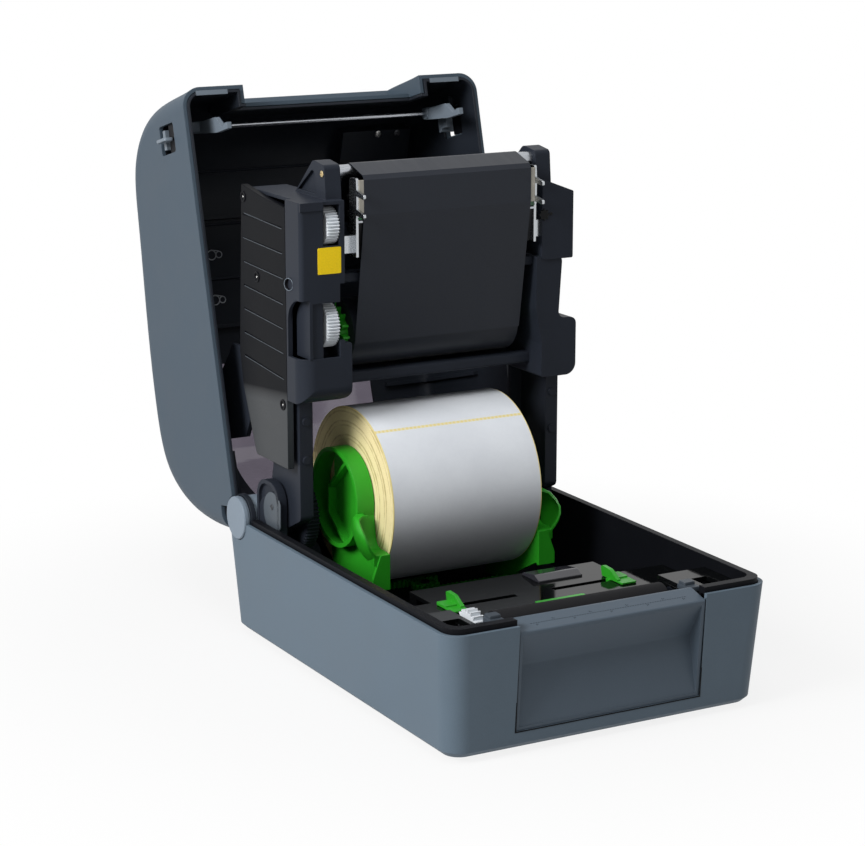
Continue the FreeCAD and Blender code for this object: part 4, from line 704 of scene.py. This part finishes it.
socket_depth = 0.0125
usb_low, usb_high = [Vector(corner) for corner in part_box("usb_port")]
middle = (usb_low + usb_high) / 2
tongue = slab(oblong(-2.8, 2.8, -1.5, 1.5, 0.4), 0.0, 8.0, 0.3)
seat = basis(Vector((middle.x, usb_high.y - socket_depth, middle.z)), (0, 1, 0))
fitting("usb_tongue", seat, [tongue], WHITE, "base")
lan_low, lan_high = [Vector(corner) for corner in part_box("lan_port")]
middle = (lan_low + lan_high) / 2
contacts = []
for k in range(8):
    u = -3.6 + 1.02 * k
    bend = [(u, -4.0, 0.0), (u, -3.6, 4.0), (u, -1.6, 8.0), (u, -2.6, 10.0)]
    contacts.append(sweep(bend, 0.2, 6))
seat = basis(Vector((middle.x, lan_high.y - socket_depth, middle.z)), (0, 1, 0))
fitting("lan_contacts", seat, contacts, BRASS, "base")


# Camera at the photograph's view

image_width = 865.0
focal_pixels = 2500.0
camera_data = bpy.data.cameras.new("camera")
camera_data.sensor_width = 36.0
camera_data.lens = camera_data.sensor_width * focal_pixels / image_width
camera_data.clip_start = 0.05
camera_data.clip_end = 50.0
camera = bpy.data.objects.new("camera", camera_data)
scene.collection.objects.link(camera)
camera.location = at(-700.4, -1204.0, 477.7)
right = Vector((0.87494, -0.48426, 0.0))
up = Vector((0.11231, 0.20292, 0.97275))
camera.rotation_mode = "QUATERNION"
camera.rotation_quaternion = Matrix((right, up, right.cross(up))).transposed().to_quaternion()
scene.camera = camera


# Studio: pale floor, soft light, white surroundings

def area_light(name, place, target, size, power):
    data = bpy.data.lights.new(name, "AREA")
    data.shape = "DISK"
    data.size = size
    data.energy = power
    lamp = bpy.data.objects.new(name, data)
    scene.collection.objects.link(lamp)
    lamp.location = place
    lamp.rotation_mode = "QUATERNION"
    lamp.rotation_quaternion = (Vector(target) - Vector(place)).to_track_quat("-Z", "Y")


area_light("key", (-1.50, -0.32, 1.05), (0, 0, 0.12), 0.8, 34.0)
area_light("top", (-0.3, -0.5, 1.9), (0, 0.0, 0.15), 1.0, 12.0)
area_light("fill", (-0.2, -2.0, 0.8), (0, 0, 0.2), 1.2, 1.0)


def seen_directly(tree):
    # One where the camera, a mirror or glass looks, so that all three meet the same white
    path = tree.nodes.new("ShaderNodeLightPath")
    total = path.outputs["Is Camera Ray"]
    for ray in ("Is Glossy Ray", "Is Transmission Ray"):
        either = tree.nodes.new("ShaderNodeMath")
        either.operation = "MAXIMUM"
        tree.links.new(total, either.inputs[0])
        tree.links.new(path.outputs[ray], either.inputs[1])
        total = either.outputs["Value"]
    return total


world = bpy.data.worlds.new("studio")
world.use_nodes = True
scene.world = world
tree = world.node_tree
sky = tree.nodes["Background"]
sky.inputs["Color"].default_value = (1, 1, 1, 1)
sky.inputs["Strength"].default_value = 0.2
white = tree.nodes.new("ShaderNodeBackground")
white.inputs["Color"].default_value = (1, 1, 1, 1)
white.inputs["Strength"].default_value = 1.0
pick = tree.nodes.new("ShaderNodeMixShader")
tree.links.new(seen_directly(tree), pick.inputs["Fac"])
tree.links.new(sky.outputs["Background"], pick.inputs[1])
tree.links.new(white.outputs["Background"], pick.inputs[2])
tree.links.new(pick.outputs["Shader"], tree.nodes["World Output"].inputs["Surface"])

floor_mesh = bpy.data.meshes.new("floor")
reach = 6.0
corners = [(-reach, -reach, 0), (reach, -reach, 0), (reach, reach, 0), (-reach, reach, 0)]
floor_mesh.from_pydata(corners, [], [(0, 1, 2, 3)])
floor = bpy.data.objects.new("floor", floor_mesh)
scene.collection.objects.link(floor)
floor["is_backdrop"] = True
ground = bpy.data.materials.new("pale_floor")
ground.use_nodes = True
tree = ground.node_tree
plain = tree.nodes["Principled BSDF"]
plain.inputs["Base Color"].default_value = (0.62, 0.62, 0.62, 1)
plain.inputs["Roughness"].default_value = 0.9
glow = tree.nodes.new("ShaderNodeEmission")
glow.inputs["Strength"].default_value = 1.0
spot = tree.nodes.new("ShaderNodeTexCoord")
length = tree.nodes.new("ShaderNodeVectorMath")
length.operation = "LENGTH"
tree.links.new(spot.outputs["Object"], length.inputs[0])
fade = tree.nodes.new("ShaderNodeMapRange")
fade.interpolation_type = "SMOOTHSTEP"
for socket, value in (("From Min", 0.16), ("From Max", 0.42), ("To Min", 0.84), ("To Max", 1.0)):
    fade.inputs[socket].default_value = value
tree.links.new(length.outputs["Value"], fade.inputs["Value"])
share = tree.nodes.new("ShaderNodeMath")
share.operation = "MULTIPLY"
tree.links.new(seen_directly(tree), share.inputs[0])
tree.links.new(fade.outputs["Result"], share.inputs[1])
pick = tree.nodes.new("ShaderNodeMixShader")
tree.links.new(share.outputs["Value"], pick.inputs["Fac"])
tree.links.new(plain.outputs["BSDF"], pick.inputs[1])
tree.links.new(glow.outputs["Emission"], pick.inputs[2])
tree.links.new(pick.outputs["Shader"], tree.nodes["Material Output"].inputs["Surface"])
floor_mesh.materials.append(ground)

scene.view_settings.view_transform = "Standard"

low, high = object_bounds()
